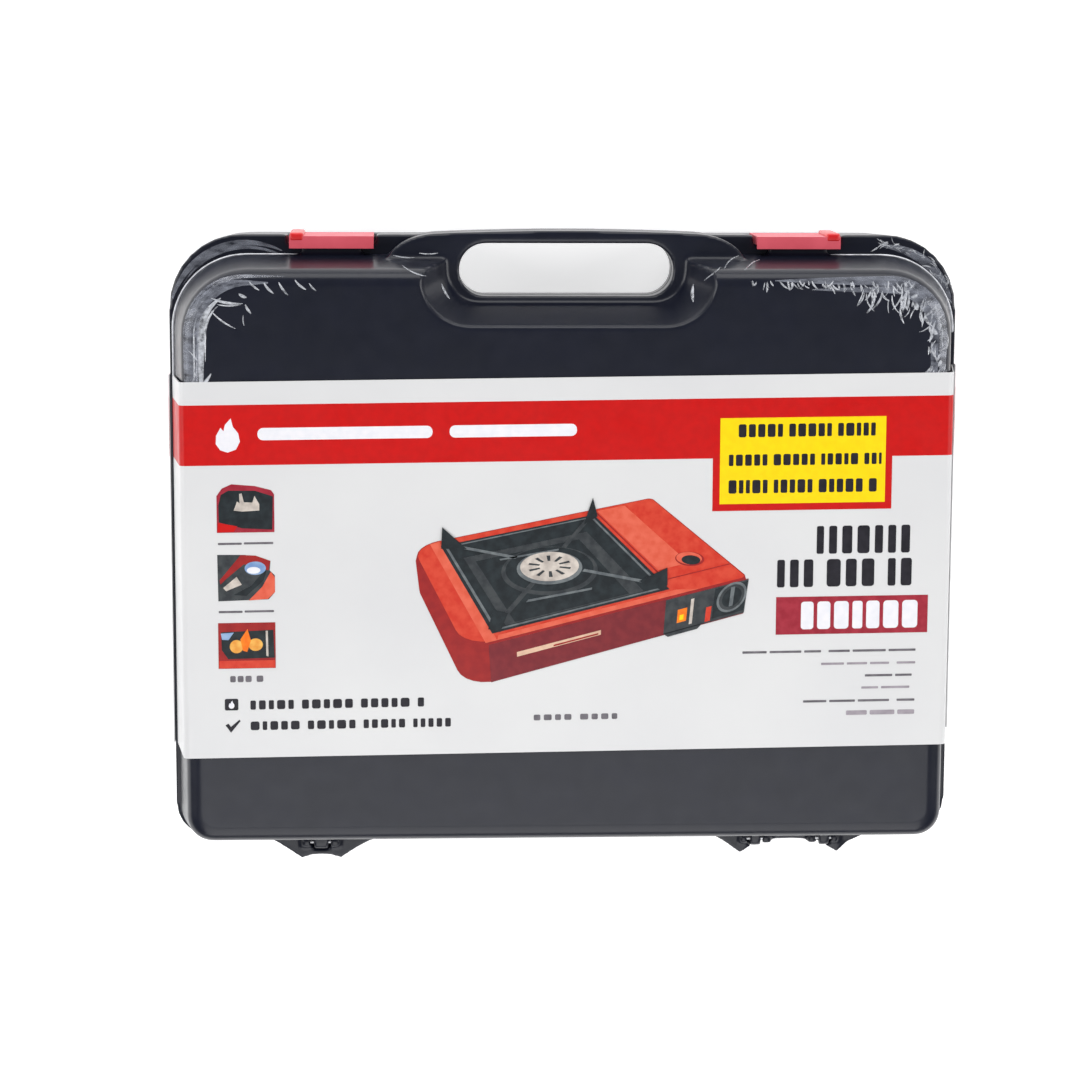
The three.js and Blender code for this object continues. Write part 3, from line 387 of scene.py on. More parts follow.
class Print:
    """Flat inked shapes on the lid's face of the card, as thin closed prisms in layers."""

    def __init__(self):
        self.vertices = []
        self.faces = []
        self.inks = []
        self.keys = []
        self.face_z = WRAP_HIGH.z

    def shape(self, ink, layer, points):
        """A closed outline in card coordinates: x right of the face's middle and y above CARD_Y."""
        if ink not in self.keys:
            self.keys.append(ink)
        low = self.face_z + (layer - 1) * INK
        start = len(self.vertices)
        count = len(points)
        for z in (low, low + INK):
            self.vertices += [(x, CARD_Y + y + SKEW * x, z) for x, y in points]
        made = [tuple(range(start, start + count)), tuple(range(start + count, start + 2 * count))]
        for i in range(count):
            j = (i + 1) % count
            made.append((start + i, start + j, start + count + j, start + count + i))
        self.faces += made
        self.inks += [self.keys.index(ink)] * len(made)

    def bar(self, ink, layer, x0, x1, y0, y1, radius=0.0):
        if not radius:
            self.shape(ink, layer, [(x0, y0), (x1, y0), (x1, y1), (x0, y1)])
            return
        corners = (
            (x1 - radius, y0 + radius, 270),
            (x1 - radius, y1 - radius, 0),
            (x0 + radius, y1 - radius, 90),
            (x0 + radius, y0 + radius, 180),
        )
        points = []
        for cx, cy, first in corners:
            for step in range(5):
                angle = math.radians(first + 22.5 * step)
                points.append((cx + radius * math.cos(angle), cy + radius * math.sin(angle)))
        self.shape(ink, layer, points)

    def oval(self, ink, layer, x, y, rx, ry, sides=32):
        self.shape(ink, layer, circle(x, y, rx, ry, sides))

    def blocks(self, ink, layer, x0, x1, y0, y1, seed, wide, gap, word=5):
        """A row of plain blocks in place of a line of lettering, with wider gaps between its groups."""
        draw = random.Random(seed)
        x = x0
        count = 0
        while x < x1 - wide * 0.4:
            end = min(x + wide * draw.uniform(0.6, 1.25), x1)
            self.bar(ink, layer, x, end, y0, y1, min(end - x, y1 - y0) * 0.24)
            count += 1
            x = end + (gap * 2.6 if count % word == 0 else gap)

    def finish(self, name):
        mesh = mesh_of(name, self.vertices, self.faces, self.inks)
        for ink in self.keys:
            mesh.materials.append(MATERIALS[f"ink_{ink}"])
        return link(name, mesh)


# ---- the picture of the stove on the card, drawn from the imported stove's own sizes

PICTURE = {"x": 2.5, "y": -2.6, "scale": 0.405, "turn": 23, "tilt": 30, "distance": 900}
STOVE_LOW, STOVE_HIGH = extent("stove_casing")
TOP = extent("cartridge_cover")[1].z - 1.6       # height of the casing's top in the picture
PAN_LOW, PAN_HIGH = extent("burner_pan")
PAN_MID = (PAN_LOW + PAN_HIGH) / 2
PAN_HALF = (PAN_HIGH.x - PAN_LOW.x) / 2


def pictured(x, y, z):
    """Where a point of the stove falls in its picture, in card coordinates."""
    mid = (STOVE_LOW + STOVE_HIGH) / 2
    turn = math.radians(PICTURE["turn"])
    tilt = math.radians(PICTURE["tilt"])
    dx, dy, dz = x - mid.x, y - mid.y, z - TOP
    right = dx * math.cos(turn) - dy * math.sin(turn)
    depth = dx * math.sin(turn) + dy * math.cos(turn)
    rise = depth * math.sin(tilt) + dz * math.cos(tilt)
    away = depth * math.cos(tilt) - dz * math.sin(tilt)
    size = PICTURE["scale"] * PICTURE["distance"] / (PICTURE["distance"] + away)
    return PICTURE["x"] + size * right, PICTURE["y"] + size * rise


def hull(points):
    """The convex outline of points in a plane, anticlockwise."""
    points = sorted(set(points))

    def half(ordered):
        chain = []
        for p in ordered:
            while len(chain) > 1 and (
                (chain[-1][0] - chain[-2][0]) * (p[1] - chain[-2][1])
                - (chain[-1][1] - chain[-2][1]) * (p[0] - chain[-2][0])
            ) <= 0:
                chain.pop()
            chain.append(p)
        return chain[:-1]
    return half(points) + half(points[::-1])


def plan(inset, left=34, right=7):
    """The stove's outline from above, with its two big round corners on the left."""
    x0, y0 = STOVE_LOW.x + inset, STOVE_LOW.y + inset
    x1, y1 = STOVE_HIGH.x - inset, STOVE_HIGH.y - inset
    corners = ((x1, y0, right, -1, 1, 270), (x1, y1, right, -1, -1, 0),
               (x0, y1, left, 1, -1, 90), (x0, y0, left, 1, 1, 180))
    points = []
    for x, y, r, sx, sy, first in corners:
        for step in range(7):
            angle = math.radians(first + 15 * step)
            points.append((x + sx * r + r * math.cos(angle), y + sy * r + r * math.sin(angle)))
    return points


SIDE_DRAWN = 49                   # how much of the stove's side the picture shows below its top


def stove_picture(sheet):
    floor = TOP - SIDE_DRAWN
    front = STOVE_LOW.y

    def flat(ink, layer, points, z=TOP):
        """An outline of points (x, y) at one height of the stove."""
        sheet.shape(ink, layer, [pictured(x, y, z) for x, y in points])

    def patch(ink, layer, x0, x1, y0, y1, z=TOP):
        flat(ink, layer, [(x0, y0), (x1, y0), (x1, y1), (x0, y1)], z)

    def ring(ink, layer, x, y, r, z=TOP):
        flat(ink, layer, circle(x, y, r, r, 36), z)

    def facing(ink, layer, points):
        """An outline of points (x, z) on the stove's front."""
        sheet.shape(ink, layer, [pictured(x, front, z) for x, z in points])

    def panel(ink, layer, x0, x1, z0, z1):
        facing(ink, layer, [(x0, z0), (x1, z0), (x1, z1), (x0, z1)])

    def casing():
        body = [pictured(x, y, TOP) for x, y in plan(2)] + [pictured(x, y, TOP - 8) for x, y in plan(0)]
        body += [pictured(x, y, floor) for x, y in plan(0)]
        sheet.shape("stove_deep", 2, hull(body))
        panel("stove_shade", 3, STOVE_LOW.x + 26, STOVE_HIGH.x - 2, floor, TOP - 1)
        sheet.shape("stove_red", 4, hull([pictured(x, y, TOP) for x, y in plan(3)]))
        x0, y0, y1 = STOVE_LOW.x, STOVE_LOW.y, STOVE_HIGH.y
        flat("stove_salmon", 5, [(x0 + 24, y0 + 3), (x0 + 36, y0 + 3), (x0 + 36, y1 - 4),
                                 (x0 + 24, y1 - 6)])
        flat("stove_salmon", 5, [(x0 + 36, y0 + 3), (PAN_HIGH.x + 30, y0 + 3), (PAN_HIGH.x + 6, y0 + 12),
                                 (x0 + 40, y0 + 11)])

    def cover():
        low, high = extent("cartridge_cover")
        patch("stove_salmon", 5, low.x + 6, low.x + 46, low.y + 22, high.y - 6)
        patch("stove_deep", 6, low.x + 2, low.x + 4, low.y, high.y)
        patch("stove_deep", 6, low.x + 2, high.x - 4, low.y - 1, low.y + 0.6)
        hole_x, hole_y = high.x - 40, low.y + 30
        ring("stove_deep", 6, hole_x, hole_y, 17)
        ring("stove_salmon", 7, hole_x, hole_y + 1.5, 15)
        ring("pan_dark", 8, hole_x, hole_y - 3, 11)

    def pan():
        x, y, half = PAN_MID.x, PAN_MID.y, PAN_HALF
        for ink, layer, inset_x, inset_y, right, up, z in (
            ("pan_dark", 6, 0, 0, 0, 0, TOP),
            ("pan_light", 7, 4, 4, 0, 0, TOP),
            ("pan_dark", 8, 7, 7, 0, 0, TOP),
            ("pan_mid", 9, 20, 22, 3, 6, TOP - 14),
            ("pan_dark", 10, 34, 30, 0, 0, TOP - 14),
        ):
            wide, deep = half - inset_x, half - inset_y
            patch(ink, layer, x - wide + right, x + wide + right, y - deep + up, y + deep + up, z)
        ring("pan_mid", 11, x, y, 56, TOP - 4)
        ring("pan_dark", 12, x, y, 51, TOP - 2)

    def support_arm(quarter):
        """One arm of the pan support, with the prong at its outer end."""
        angle = math.radians(45 + 90 * quarter)
        along = Vector((math.cos(angle), math.sin(angle)))
        across = Vector((-along.y, along.x))
        middle = Vector((PAN_MID.x, PAN_MID.y))
        outline = ((42, -3), (PAN_HALF * 1.3, -3), (PAN_HALF * 1.3, 3), (42, 3))
        arm = [tuple(middle + along * reach + across * side) for reach, side in outline]
        flat("pan_light" if quarter in (1, 3) else "pan_mid", 13, arm, TOP + 4)
        foot = middle + along * (PAN_HALF * 1.37)
        inner = middle + along * (PAN_HALF * 1.06)
        corners = ((foot + across * 7, 1), (foot - across * 7, 1), (foot, 27), (inner, 3))
        sheet.shape("pan_dark", 14, hull([pictured(p.x, p.y, TOP + rise) for p, rise in corners]))

    def burner():
        x, y = PAN_MID.x, PAN_MID.y
        for side in (-1, 1):
            gleam = [(x - 46 + side * 2, y - 52), (x + 28, y - 58), (x + 30, y - 54), (x - 44, y - 48)]
            flat("pan_light", 13, [(u, v + (side + 1) * 50) for u, v in gleam], TOP - 6)
        ring("pan_light", 14, x, y, 38, TOP - 1)
        ring("pale", 15, x, y, 34, TOP + 1)
        for spoke in range(10):
            angle = 2 * math.pi * spoke / 10
            c, s = math.cos(angle), math.sin(angle)
            blade = ((12, -1.6), (25, -2.2), (25, 2.2), (12, 1.6))
            flat("pan_mid", 16, [(x + c * r - s * w, y + s * r + c * w) for r, w in blade], TOP + 1)

    def controls():
        left, right = extent("control_fascia")[0].x, extent("control_fascia")[1].x
        panel("pan_mid", 4, left - 20, right + 1, floor + 1, TOP - 2)
        panel("stove_red", 5, left + 33, left + 40, floor + 3, TOP - 26)
        panel("pan_dark", 5, left + 42, right, floor + 5, TOP - 4)
        facing("pan_mid", 4, [(left + a, floor - 4 + b) for a, b in ((-14, 0), (24, 0), (30, 6), (-20, 6))])
        panel("orange", 6, left - 4, left + 8, floor + 12, floor + 30)
        panel("yellow", 7, left - 1, left + 4, floor + 15, floor + 22)
        panel("pale", 6, left + 12, left + 16, floor + 6, floor + 40)
        knob_x, knob_z = left + 66, floor + 28
        for ink, layer, r in (("pan_light", 6, 20), ("pan_mid", 7, 17), ("pan_dark", 8, 13)):
            facing(ink, layer, circle(knob_x, knob_z, r, r, 28))
        panel("pan_light", 9, knob_x - 2.5, knob_x + 2.5, knob_z - 12, knob_z + 14)
        slot_low, slot_high = extent("front_slot_trim")
        panel("tan", 4, slot_low.x, slot_high.x, floor + 24, floor + 30)
        panel("stove_deep", 5, slot_low.x + 40, slot_high.x - 3, floor + 25, floor + 27)

    casing()
    cover()
    pan()
    for quarter in range(4):
        support_arm(quarter)
    burner()
    controls()


# ---- the rest of the print

def thumbnails(sheet):
    """Three small pictures down the left side: a burner, the gas cartridge and a lit ring."""
    left = -165.5
    wide = 27

    def inside(ink, layer, base, points):
        sheet.shape(ink, layer, [(left + x, base + y) for x, y in points])

    base = 13.6
    inside("crimson", 2, base, [(0, 0), (wide, 0), (wide, 18), (25.5, 20), (18, 22), (7, 23), (2.5, 21),
                                (0, 17.5)])
    inside("pan_dark", 3, base, [(1, 5), (12, 2), (26, 1.2), (26.4, 17), (18, 19.8), (5.5, 20), (2, 18),
                                 (0.8, 13)])
    inside("red", 4, base, [(0.2, 0.2), (8, 0.4), (9.6, 3), (0.6, 4.8)])
    inside("pale", 4, base, [(8, 10.5), (9.6, 14.8), (10.8, 14), (10.6, 18.4), (11.8, 18.6), (12.8, 14.4),
                             (16.8, 14.2), (17.8, 17.4), (20, 13.4), (20, 10.4), (12, 10)])
    base = -19.1
    inside("pan_mid", 2, base, [(0.3, 0), (24, 0.6), (wide, 4), (wide, 12), (24.6, 14.4), (25, 19),
                                (13, 22), (0, 22.2)])
    inside("stove_deep", 3, base, [(1, 10), (11, 22), (18, 21.6), (25, 19), (24, 14.5), (12.5, 17.6),
                                   (4.5, 11), (1.4, 8)])
    inside("stove_salmon", 3, base, [(25.2, 13.8), (wide, 11), (wide, 4), (23.6, 0.8), (14.6, 0.2),
                                     (21, 6.6), (24, 12)])
    inside("pan_dark", 4, base, [(23, 14.4), (21.8, 9.8), (13.5, 2.4), (7.6, 3), (16, 7.4), (21.6, 14)])
    sheet.oval("blue", 5, left + 17.8, base + 15.6, 5, 3.2)
    sheet.oval("white", 6, left + 17, base + 14.6, 3.2, 1.6)
    inside("pale", 5, base, [(2.6, 6.4), (9, 11.6), (11.4, 7.8), (4, 4.8)])
    base = -51.6
    inside("stove_deep", 2, base, [(0, 0), (wide, 0), (wide, 22), (0, 22)])
    inside("pan_dark", 3, base, [(1.4, 17.6), (26, 18.4), (26.6, 5), (4.6, 4.6), (1.6, 9)])
    inside("stove_red", 3, base, [(0.3, 0.2), (26.8, 0.2), (26.8, 3.8), (0.3, 3.8)])
    sheet.oval("amber", 4, left + 8.6, base + 10.6, 3.2, 3.2)
    sheet.oval("amber", 4, left + 17.6, base + 11.4, 3.4, 3)
    inside("orange", 5, base, [(10.4, 14), (13.8, 19), (15.4, 13.4), (13.6, 8), (11.6, 8.6)])
    inside("blue", 4, base, [(1.2, 17), (7.4, 17.4), (4.8, 13.8), (1.8, 14)])
    inside("pale", 4, base, [(22.4, 18), (23.4, 18), (23.6, 5.6), (22.6, 6)])
    for y in (8.3, -24.3):
        sheet.bar("grey", 2, left + 0.4, left + 11.6, y - 0.5, y + 0.5, 0.3)
        sheet.bar("grey", 2, left + 12.6, left + 26.4, y - 0.4, y + 0.6, 0.3)
    sheet.blocks("grey", 2, left + 5.4, left + 22.6, -58.2, -55.2, 5, 2.6, 0.9, 3)


def flame(sheet, ink, layer, x, y, size):
    """A plain flame as an emblem."""
    outline = ((0, 0), (3.4, 1.2), (5, 4.4), (4.4, 7.8), (2.2, 10.6), (1.4, 14), (-1, 11.4), (-1.6, 8.8),
               (-2.8, 10.2), (-4.6, 7), (-4.8, 3.6), (-3, 1))
    sheet.shape(ink, layer, [(x + u * size, y + v * size) for u, v in outline])


def front_print():
    sheet = Print()
    stove_picture(sheet)
    thumbnails(sheet)

    flame(sheet, "white", 2, -160, 51.6, 1.15)
    sheet.bar("white", 2, -146, -64, 57.2, 63, 2.6)
    sheet.bar("white", 2, -56, 4, 57.2, 63, 2.6)

    sheet.bar("red", 2, 68.4, 153.8, 20.3, 70.2)
    sheet.bar("yellow", 3, 71.8, 150.6, 23.6, 64.6)
    for row, (x0, x1, y0, y1) in enumerate((
        (80.5, 145.6, 55.4, 61.6),
        (76, 148.7, 41.8, 47.2),
        (76, 148, 28.6, 35),
    )):
        sheet.blocks("black", 4, x0, x1, y0, y1, 20 + row, 3.1, 1.15)

    sheet.blocks("black", 2, 118.5, 167, -1, 12.4, 31, 5.6, 2.5, 9)
    sheet.blocks("black", 2, 99.8, 167, -16.9, -3.6, 32, 5.6, 2.5, 3)
    sheet.bar("crimson", 2, 99.5, 172.4, -39.8, -21.6)
    sheet.blocks("white", 3, 111.5, 168.6, -37.4, -24, 33, 6.2, 1.8, 9)

    for i, (x0, y, ink) in enumerate((
        (83.7, -48.2, "grey"),
        (121.6, -54.4, "pale_grey"),
        (142.8, -60.4, "grey"),
        (141.2, -66.3, "pale_grey"),
        (113.2, -72.6, "grey"),
        (134, -78.5, "pale_grey"),
    )):
        high = 0.55 if i < 5 else 1.1            # the last line is bolder
        sheet.blocks(ink, 2, x0, 167, y - high, y + high, 40 + i, 13, 1.4, 3)

    sheet.bar("black", 2, -162.8, -156.4, -71.8, -66.2, 0.8)
    flame(sheet, "white", 3, -159.6, -71, 0.28)
    sheet.shape("black", 2, [(-162.6, -79), (-161.2, -78.2), (-160, -79.8), (-156, -76.4), (-155.4, -77),
                             (-160, -82.6)])
    sheet.blocks("black", 2, -150.7, -67, -71.6, -67.2, 51, 3.4, 1.5)
    sheet.blocks("black", 2, -150.7, -52, -81.6, -77.4, 52, 3.4, 1.5)
    sheet.blocks("grey", 2, -16, 24, -79.4, -76.6, 53, 3.2, 1.6, 4)
    own(sheet.finish("print_front"), "case_lid", "printed_card")


def wraps():
    for node, body in (("wrap_front", "case_lid"), ("wrap_back", "root")):
        low, high = extent(node)
        card = band(f"card_{node}", node, low.y, high.y, 0, CARD, "card", CARD_ROWS)
        own(card, body, "printed_card", node)
        red = band(f"red_band_{node}", node, *BAND, INK, 3 * INK, "ink_red", BAND_ROWS)
        own(red, body, "printed_card")


# ------------------------------------------------------------------ clear shrink film

CASE_HALF = 182.5                 # the film is set out from a rounded outline of the case's upper corners
CORNER_R = 31
LID_EDGE = 135.6                  # heights of the lid's and the base's top edges above CARD_Y
BASE_EDGE = 139
EDGE_STEP = 0.62                  # how far a degree of turn reaches along the straight edges


class Surface:
    """The case's moulded skin as seen from above, for laying creases of film on it."""

    def __init__(self, piece):
        graph = bpy.context.evaluated_depsgraph_get()
        self.tree = BVHTree.FromObject(piece, graph)

    def at(self, x, y):
        hit, normal, _, _ = self.tree.ray_cast(Vector((x, CARD_Y + y, 200)) * MM, Vector((0, 0, -1)))
        return (hit / MM, normal) if hit else None


def crease(store, surface, points, wide, high, lift=0.15):
    """Adds a crease to a store of points and faces: a ridge along a path, tapered to both ends."""
    vertices, faces = store
    found = [surface.at(x, y) for x, y in points]
    if not all(found):
        return
    start = len(vertices)
    count = len(found)
    for i, (place, normal) in enumerate(found):
        before = found[max(i - 1, 0)][0]
        after = found[min(i + 1, count - 1)][0]
        across = (after - before).cross(normal).normalized()
        swell = math.sin(math.pi * (i + 0.35) / (count - 0.3)) ** 0.8
        middle = place + normal * lift
        for side, rise in ((-0.5, 0), (0, high * swell), (0.5, 0), (0, -0.1)):
            vertices.append(middle + across * wide * swell * side + normal * rise)
    for i in range(count - 1):
        a = start + 4 * i
        for k in range(4):
            faces.append((a + k, a + (k + 1) % 4, a + 4 + (k + 1) % 4, a + 4 + k))
    faces.append(tuple(start + k for k in range(4)))
    faces.append(tuple(start + 4 * (count - 1) + k for k in range(4)))


def stroke(x, y, heading, length, bend=0.0, steps=7):
    """A path of points from a start, in degrees of heading, that curves as it goes."""
    points = []
    for i in range(steps):
        along = length * i / (steps - 1)
        angle = math.radians(heading + bend * i / (steps - 1))
        points.append((x + along * math.cos(angle), y + along * math.sin(angle)))
    return points


def corner_point(turn, inset, side, top=LID_EDGE):
    """A point on a rounded top corner of the case: turn 0 is its side, 90 is its top edge."""
    angle = math.radians(turn)
    reach = CORNER_R - inset
    return side * (CASE_HALF - CORNER_R + reach * math.cos(angle)), top - CORNER_R + reach * math.sin(angle)


def edge_path(side, inset, first, last, steps=13):
    """Down the side of the lid for turns below 0, then round its top corner and on along the top edge."""
    points = []
    for step in range(steps):
        turn = first + (last - first) * step / (steps - 1)
        x, y = corner_point(min(max(turn, 0), 90), inset, side)
        points.append((x - side * EDGE_STEP * max(turn - 90, 0), y + EDGE_STEP * min(turn, 0)))
    return points


def shoulder_path(side, reach, first, last, steps=17):
    """Round a top corner of the base, outside the lid's."""
    turns = [first + (last - first) * i / (steps - 1) for i in range(steps)]
    return [corner_point(turn, -reach, side, BASE_EDGE) for turn in turns]


def crinkles(store, surface, draw, count, place, length, wide, high=0.22):
    """Scatters short irregular creases; place gives the start and heading of each."""
    for _ in range(count):
        x, y, heading = place()
        crease(store, surface, stroke(x, y, heading, draw.uniform(*length), draw.uniform(-35, 35), 5),
               draw.uniform(*wide), high, 0.08)


def shrink_film(lid, base):
    draw = random.Random(11)
    lid_skin = Surface(lid)
    base_skin = Surface(base)
    on_lid = ([], [])
    on_base = ([], [])
    sheen_lid = ([], [])
    sheen_base = ([], [])

    # broad folds down the left corner, their whitish colour a painted highlight where they catch the light,
    # and bands of painted sheen round both corners
    for inset, first, last, wide in (
        (10.5, -54, 58, 3.4),
        (12.6, -20, 48, 1.2),
        (7.4, -78, 20, 0.9),
        (8.6, -66, -8, 0.7),
    ):
        crease(on_lid, lid_skin, edge_path(-1, inset, first, last), wide, 0.3)
    for inset, first, last, wide in ((6.5, -88, 108, 6.5), (3.6, -88, 120, 3.4)):
        crease(sheen_lid, lid_skin, edge_path(-1, inset, first, last, 21), wide, 0.12, 0.1)
    for inset, first, last, wide in ((5.4, -70, 178, 5.2), (9.5, -84, 150, 4.2)):
        crease(sheen_lid, lid_skin, edge_path(1, inset, first, last, 25), wide, 0.12, 0.1)
    # short slanting creases below the top edge, left of the handle
    for x in (-149, -142.5, -134.5, -127, -120.5):
        crease(on_lid, lid_skin, stroke(x + draw.uniform(-1, 1), 129.6 + draw.uniform(-0.8, 0.8),
                                        -62 + draw.uniform(-8, 8), draw.uniform(4.5, 8), 14),
               draw.uniform(0.7, 1.3), 0.25)
    for x, y, heading, length, wide in (
        (-167, 122, -24, 15, 1.3),
        (-164, 119, -14, 11, 0.7),
        (-167, 116, -50, 14, 0.8),
        (-154, 124, -40, 4, 1.5),
        (-151, 119, -72, 5, 1.2),
        (-152, 114, -100, 5, 0.6),
        (-176, 77, 34, 13, 1.8),
        (-178, 80, 50, 10, 0.8),
        (-171, 88, 112, 12, 0.8),
    ):
        crease(on_lid, lid_skin, stroke(x, y, heading, length, 14), wide, 0.28)

    # an irregular fringe along the right half of the top edge and round its corner
    def fringe():
        x = 84 + 76 * draw.random() ** 0.8
        return x, 130.5 - draw.uniform(0, 5) * (x - 70) / 90, draw.uniform(-110, -45)

    def tassel():
        x = draw.uniform(138, 168)
        return x, 127 - 0.5 * max(x - 146, 0) - draw.uniform(0, 4), draw.uniform(-104, -84)

    def corner():
        turn = draw.uniform(-70, 84)
        x, y = corner_point(max(turn, 0), draw.uniform(3, 13), 1)
        return x, y + EDGE_STEP * min(turn, 0), draw.uniform(225, 285)

    crinkles(on_lid, lid_skin, draw, 56, fringe, (1.8, 5.2), (0.4, 1.1))
    crinkles(on_lid, lid_skin, draw, 15, tassel, (4, 10), (0.5, 1.1))
    crinkles(on_lid, lid_skin, draw, 74, corner, (2.4, 8.5), (0.4, 1.4))
    crinkles(on_lid, lid_skin, draw, 9, corner, (3, 6), (1.6, 2.6))

    # the film over the back shell's shoulders, smooth on the left and crinkled on the right
    for reach, first, last, wide in ((6.6, 12, 116, 3.4), (4.4, 30, 128, 1.6)):
        crease(sheen_base, base_skin, shoulder_path(-1, reach, first, last), wide, 0.12, 0.1)
    crease(sheen_base, base_skin, shoulder_path(1, 5.4, 14, 90), 4.6, 0.12, 0.1)

    def shoulder():
        turn = draw.uniform(12, 92)
        x, y = corner_point(turn, draw.uniform(-8, -4), 1, BASE_EDGE)
        return x, y, turn + 90 + draw.uniform(-45, 45)

    crinkles(on_base, base_skin, draw, 46, shoulder, (1.8, 7), (0.3, 0.9), 0.2)
    for x, y, heading, length, wide in (
        (-59.5, 127.5, -74, 8, 2.2),
        (60, 127.5, -106, 8, 2.2),
        (-84, 141, -20, 12, 0.7),
        (-78, 136.5, -34, 12, 0.8),
        (-70, 141.5, -12, 9, 0.7),
        (84, 141, 196, 12, 0.8),
        (72, 136, 208, 10, 0.7),
        (92, 138.5, 190, 10, 0.8),
    ):
        crease(on_lid, lid_skin, stroke(x, y, heading, length, 12), wide, 0.25)

    # the creases carry a painted highlight and the sheen bands a painted sheen
    for name, store, body, finish in (
        ("film_creases_painted_highlight_lid", on_lid, "case_lid", "film"),
        ("film_creases_painted_highlight_base", on_base, "root", "film"),
        ("film_sheen_lid", sheen_lid, "case_lid", "film_sheen"),
        ("film_sheen_base", sheen_base, "root", "film_sheen"),
    ):
        own(link(name, mesh_of(name, *store), finish), body, "printed_card")


RIM = {"half": 187.0, "top": 139.9, "r": 35.0, "up": 1.3}      # the lid's lower edge, top above CARD_Y
RIM_STEPS = 10
# the section of the painted highlight line, out and up from its path as shares of its width
RIM_HIGHLIGHT_SECTION = ((-0.1, -0.5), (0.75, -0.35), (0.95, 0.3), (0.3, 0.9), (-0.4, 0.5))


def rim_line(name, side, first, run_down, run_in, wide=0.8):
    """A thin near-white ridge along the lid's lower edge, round one of its top corners, its colour a
    painted highlight.
    """
    z = WRAP_LOW.z + RIM["up"]
    half, r = RIM["half"], RIM["r"]
    top = CARD_Y + RIM["top"]
    path = [(side * half, top - r - run_down * (1 - step / RIM_STEPS)) for step in range(RIM_STEPS)]
    for degrees in range(first, 91, 5):
        angle = math.radians(degrees)
        path.append((side * (half - r + r * math.cos(angle)), top - r + r * math.sin(angle)))
    path += [(side * (half - r - run_in * step / RIM_STEPS), top) for step in range(1, RIM_STEPS + 1)]
    count = len(path)
    vertices = []
    faces = []
    for i, (x, y) in enumerate(path):
        before = Vector(path[max(i - 1, 0)])
        after = Vector(path[min(i + 1, count - 1)])
        along = (after - before).normalized()
        out = Vector((along.y, -along.x)) * side
        out = out if out.dot(Vector((x, y))) > 0 else -out
        swell = min(1.0, (i + 0.3) / 3, (count - i - 0.7) / 8)
        for reach, rise in RIM_HIGHLIGHT_SECTION:
            vertices.append((x + out.x * reach * wide * swell, y + out.y * reach * wide * swell,
                             z + rise * wide * swell))
    sides = len(RIM_HIGHLIGHT_SECTION)
    for i in range(count - 1):
        for k in range(sides):
            a = sides * i + k
            b = sides * i + (k + 1) % sides
            faces.append((a, b, b + sides, a + sides))
    faces += [tuple(range(sides)), tuple(range(sides * (count - 1), sides * count))]
    own(smooth(link(name, mesh_of(name, vertices, faces), "film_rim_highlight"), 60), "case_lid", "printed_card")


# near and far sides from the latch's outer end, then how far it reaches into the latch and past it
GRIP = {"near": 0.2, "far": 6.8, "deep": 3.6, "proud": 0.25, "tall": 31, "over": 0.35, "round": 1.1}


def latch_grip(side):
    """The bright ridge at the outer end of a latch, over the one on the latch itself."""
    node = f"latch_{side}"
    low, high = extent(node)
    outer, away = (low.x, 1) if side == "left" else (high.x, -1)
    x0, x1 = sorted((outer + away * GRIP["near"], outer + away * GRIP["far"]))
    y0, y1 = high.y - GRIP["deep"], high.y + GRIP["proud"]
    z0, z1 = high.z - GRIP["tall"], high.z + GRIP["over"]
    corners = [(x, y, z) for z in (z0, z1) for y in (y0, y1) for x in (x0, x1)]
    faces = [(0, 1, 3, 2), (4, 5, 7, 6), (0, 1, 5, 4), (2, 3, 7, 6), (0, 2, 6, 4), (1, 3, 7, 5)]
    name = f"latch_grip_{side}"
    grip = link(name, mesh_of(name, corners, faces), "latch_grip")
    modifier(grip, "BEVEL", width=GRIP["round"] * MM, segments=4)
    own(smooth(applied(grip)), f"{side}_latch", "latch_plastic")


def carry_case():
    lid = moulded("case_front_shell", "case_lid_moulding")
    own(lid, "case_lid", "case_plastic", "case_front_shell")
    base = moulded("case_back_shell", "case_base_moulding")
    own(base, "root", "case_plastic", "case_back_shell")
    shrink_film(lid, base)
    for side in ("left", "right"):
        latch_grip(side)
    rim_line("film_rim_highlight_left", -1, 0, 44, 66)
    rim_line("film_rim_highlight_right", 1, 5, 2, 66)


# ------------------------------------------------------------------ CAD nodes that stay

SOFT_EDGE = 0.5                   # bevel of a piece's edges, at most
SOFT_SHARE = 0.18                 # and at most this share of its thinnest side


def finish_nodes():
    """Gives every CAD node its procedural material, and softens the edges of the smaller ones."""
    slots = {part["node"]: part["material_slot"] for part in frame["record"]["subparts"]}
    for node, shown in NODES.items():
        for material_slot in shown.material_slots:
            material_slot.material = MATERIALS[SLOT_FINISH[slots[node]]]
        if node.startswith(("case_", "wrap_", "ignition_lead", "inlet_seal", "mixing_tube")):
            continue
        low, high = extent(node)
        thin = min(high - low)
        modifier(shown, "BEVEL", width=min(SOFT_EDGE, thin * SOFT_SHARE) * MM, segments=2,
                 limit_method="ANGLE", angle_limit=math.radians(30))


# ------------------------------------------------------------------ studio

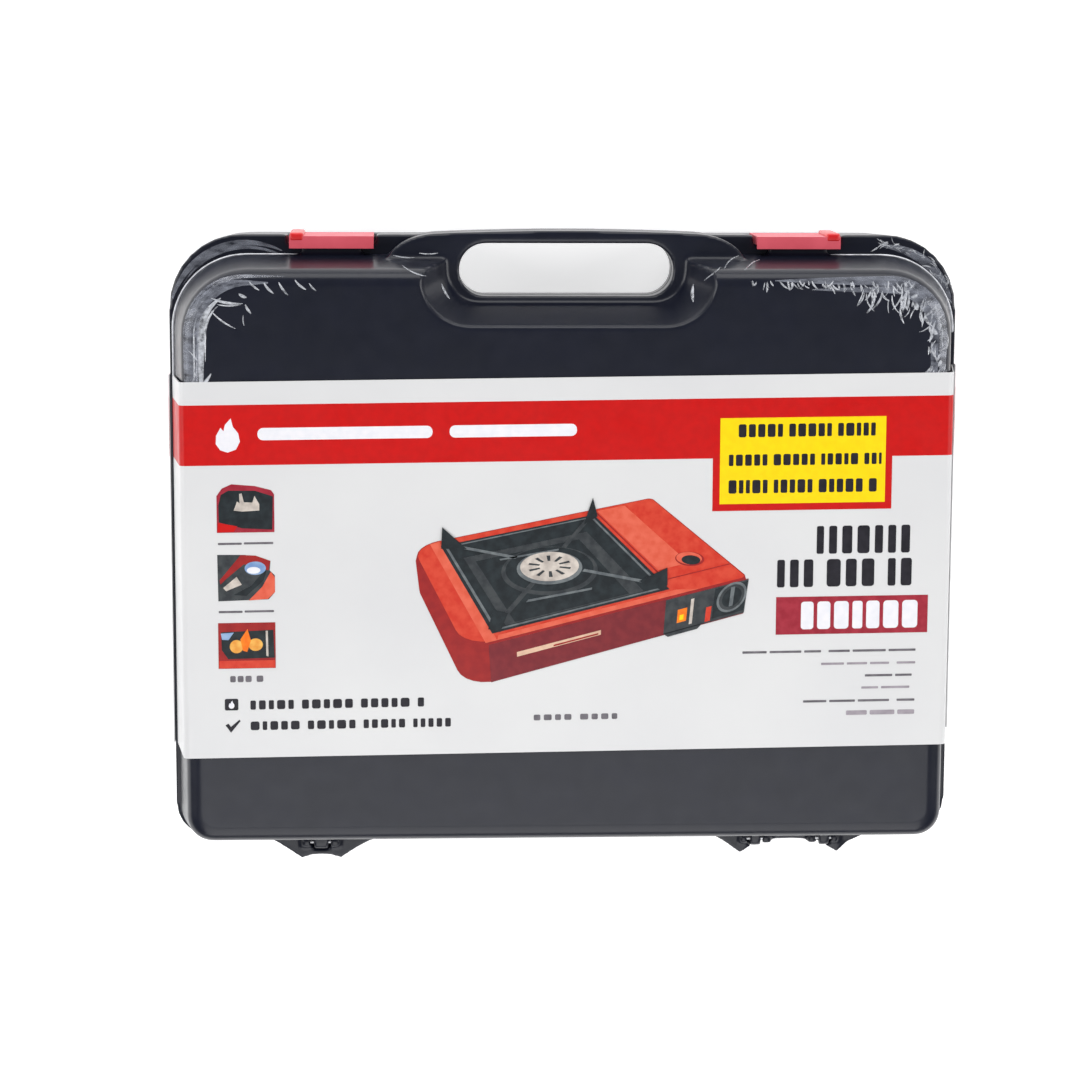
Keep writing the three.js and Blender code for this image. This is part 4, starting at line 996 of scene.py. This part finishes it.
def studio():
    bpy.ops.mesh.primitive_plane_add(size=14, location=(0, 0, -0.0005))
    floor = bpy.context.object
    floor.name = "studio_floor"
    floor.data.materials.append(MATERIALS["floor"])
    world = bpy.data.worlds.new("studio")
    SCENE.world = world
    world.use_nodes = True
    sky = world.node_tree.nodes["Background"]
    sky.inputs["Color"].default_value = (0.93, 0.95, 1.0, 1)
    sky.inputs["Strength"].default_value = 0.13
    SCENE.view_settings.view_transform = "Standard"

    def lamp(name, place, size, power, target=(0, 0, 0.05)):
        data = bpy.data.lights.new(name, "AREA")
        data.shape = "RECTANGLE"
        data.size, data.size_y = size
        data.energy = power
        lit = bpy.data.objects.new(name, data)
        lit.location = place
        lit.rotation_euler = (Vector(target) - Vector(place)).to_track_quat("-Z", "Y").to_euler()
        SCENE.collection.objects.link(lit)

    lamp("softbox_left", (-1.9, 0.3, 1.2), (1.2, 1.6), 22)
    lamp("softbox_right", (1.9, 0.3, 1.2), (1.2, 1.6), 22)
    lamp("softbox_handle", (0.0, 1.7, 0.8), (2.6, 1.1), 25)
    lamp("softbox_foot", (0.0, -1.35, 1.15), (1.5, 1.4), 15)
    lamp("softbox_top", (0.0, -0.55, 1.65), (1.5, 0.4), 4.8, (0, -0.55, 0))


# angles in degrees, the distance in metres; "up" is the target's height above CARD_Y
CAMERA = {
    "above": 9, "aside": -3, "roll": -0.27, "distance": 1.5, "lens": 103, "shift": -0.0222, "drop": 0.0023,
    "up": 0.7,
}


def camera():
    data = bpy.data.cameras.new("camera")
    eye = bpy.data.objects.new("camera", data)
    SCENE.collection.objects.link(eye)
    SCENE.camera = eye
    data.lens = CAMERA["lens"]
    data.sensor_width = 36
    data.shift_x = CAMERA["shift"]
    data.shift_y = CAMERA["drop"]
    above = math.radians(CAMERA["above"])
    aside = math.radians(CAMERA["aside"])
    back = Vector((math.sin(aside), math.sin(above) * math.cos(aside), math.cos(above) * math.cos(aside)))
    right = Vector((0, 1, 0)).cross(back).normalized()
    up = back.cross(right)
    turn = Matrix((right, up, back)).transposed().to_4x4()
    roll = Matrix.Rotation(math.radians(-CAMERA["roll"]), 4, "Z")
    target = Vector((0, CARD_Y + CAMERA["up"], WRAP_LOW.z)) * MM
    eye.matrix_world = Matrix.Translation(target + back * CAMERA["distance"]) @ turn @ roll


camera()
studio()
carry_case()
wraps()
front_print()
finish_nodes()
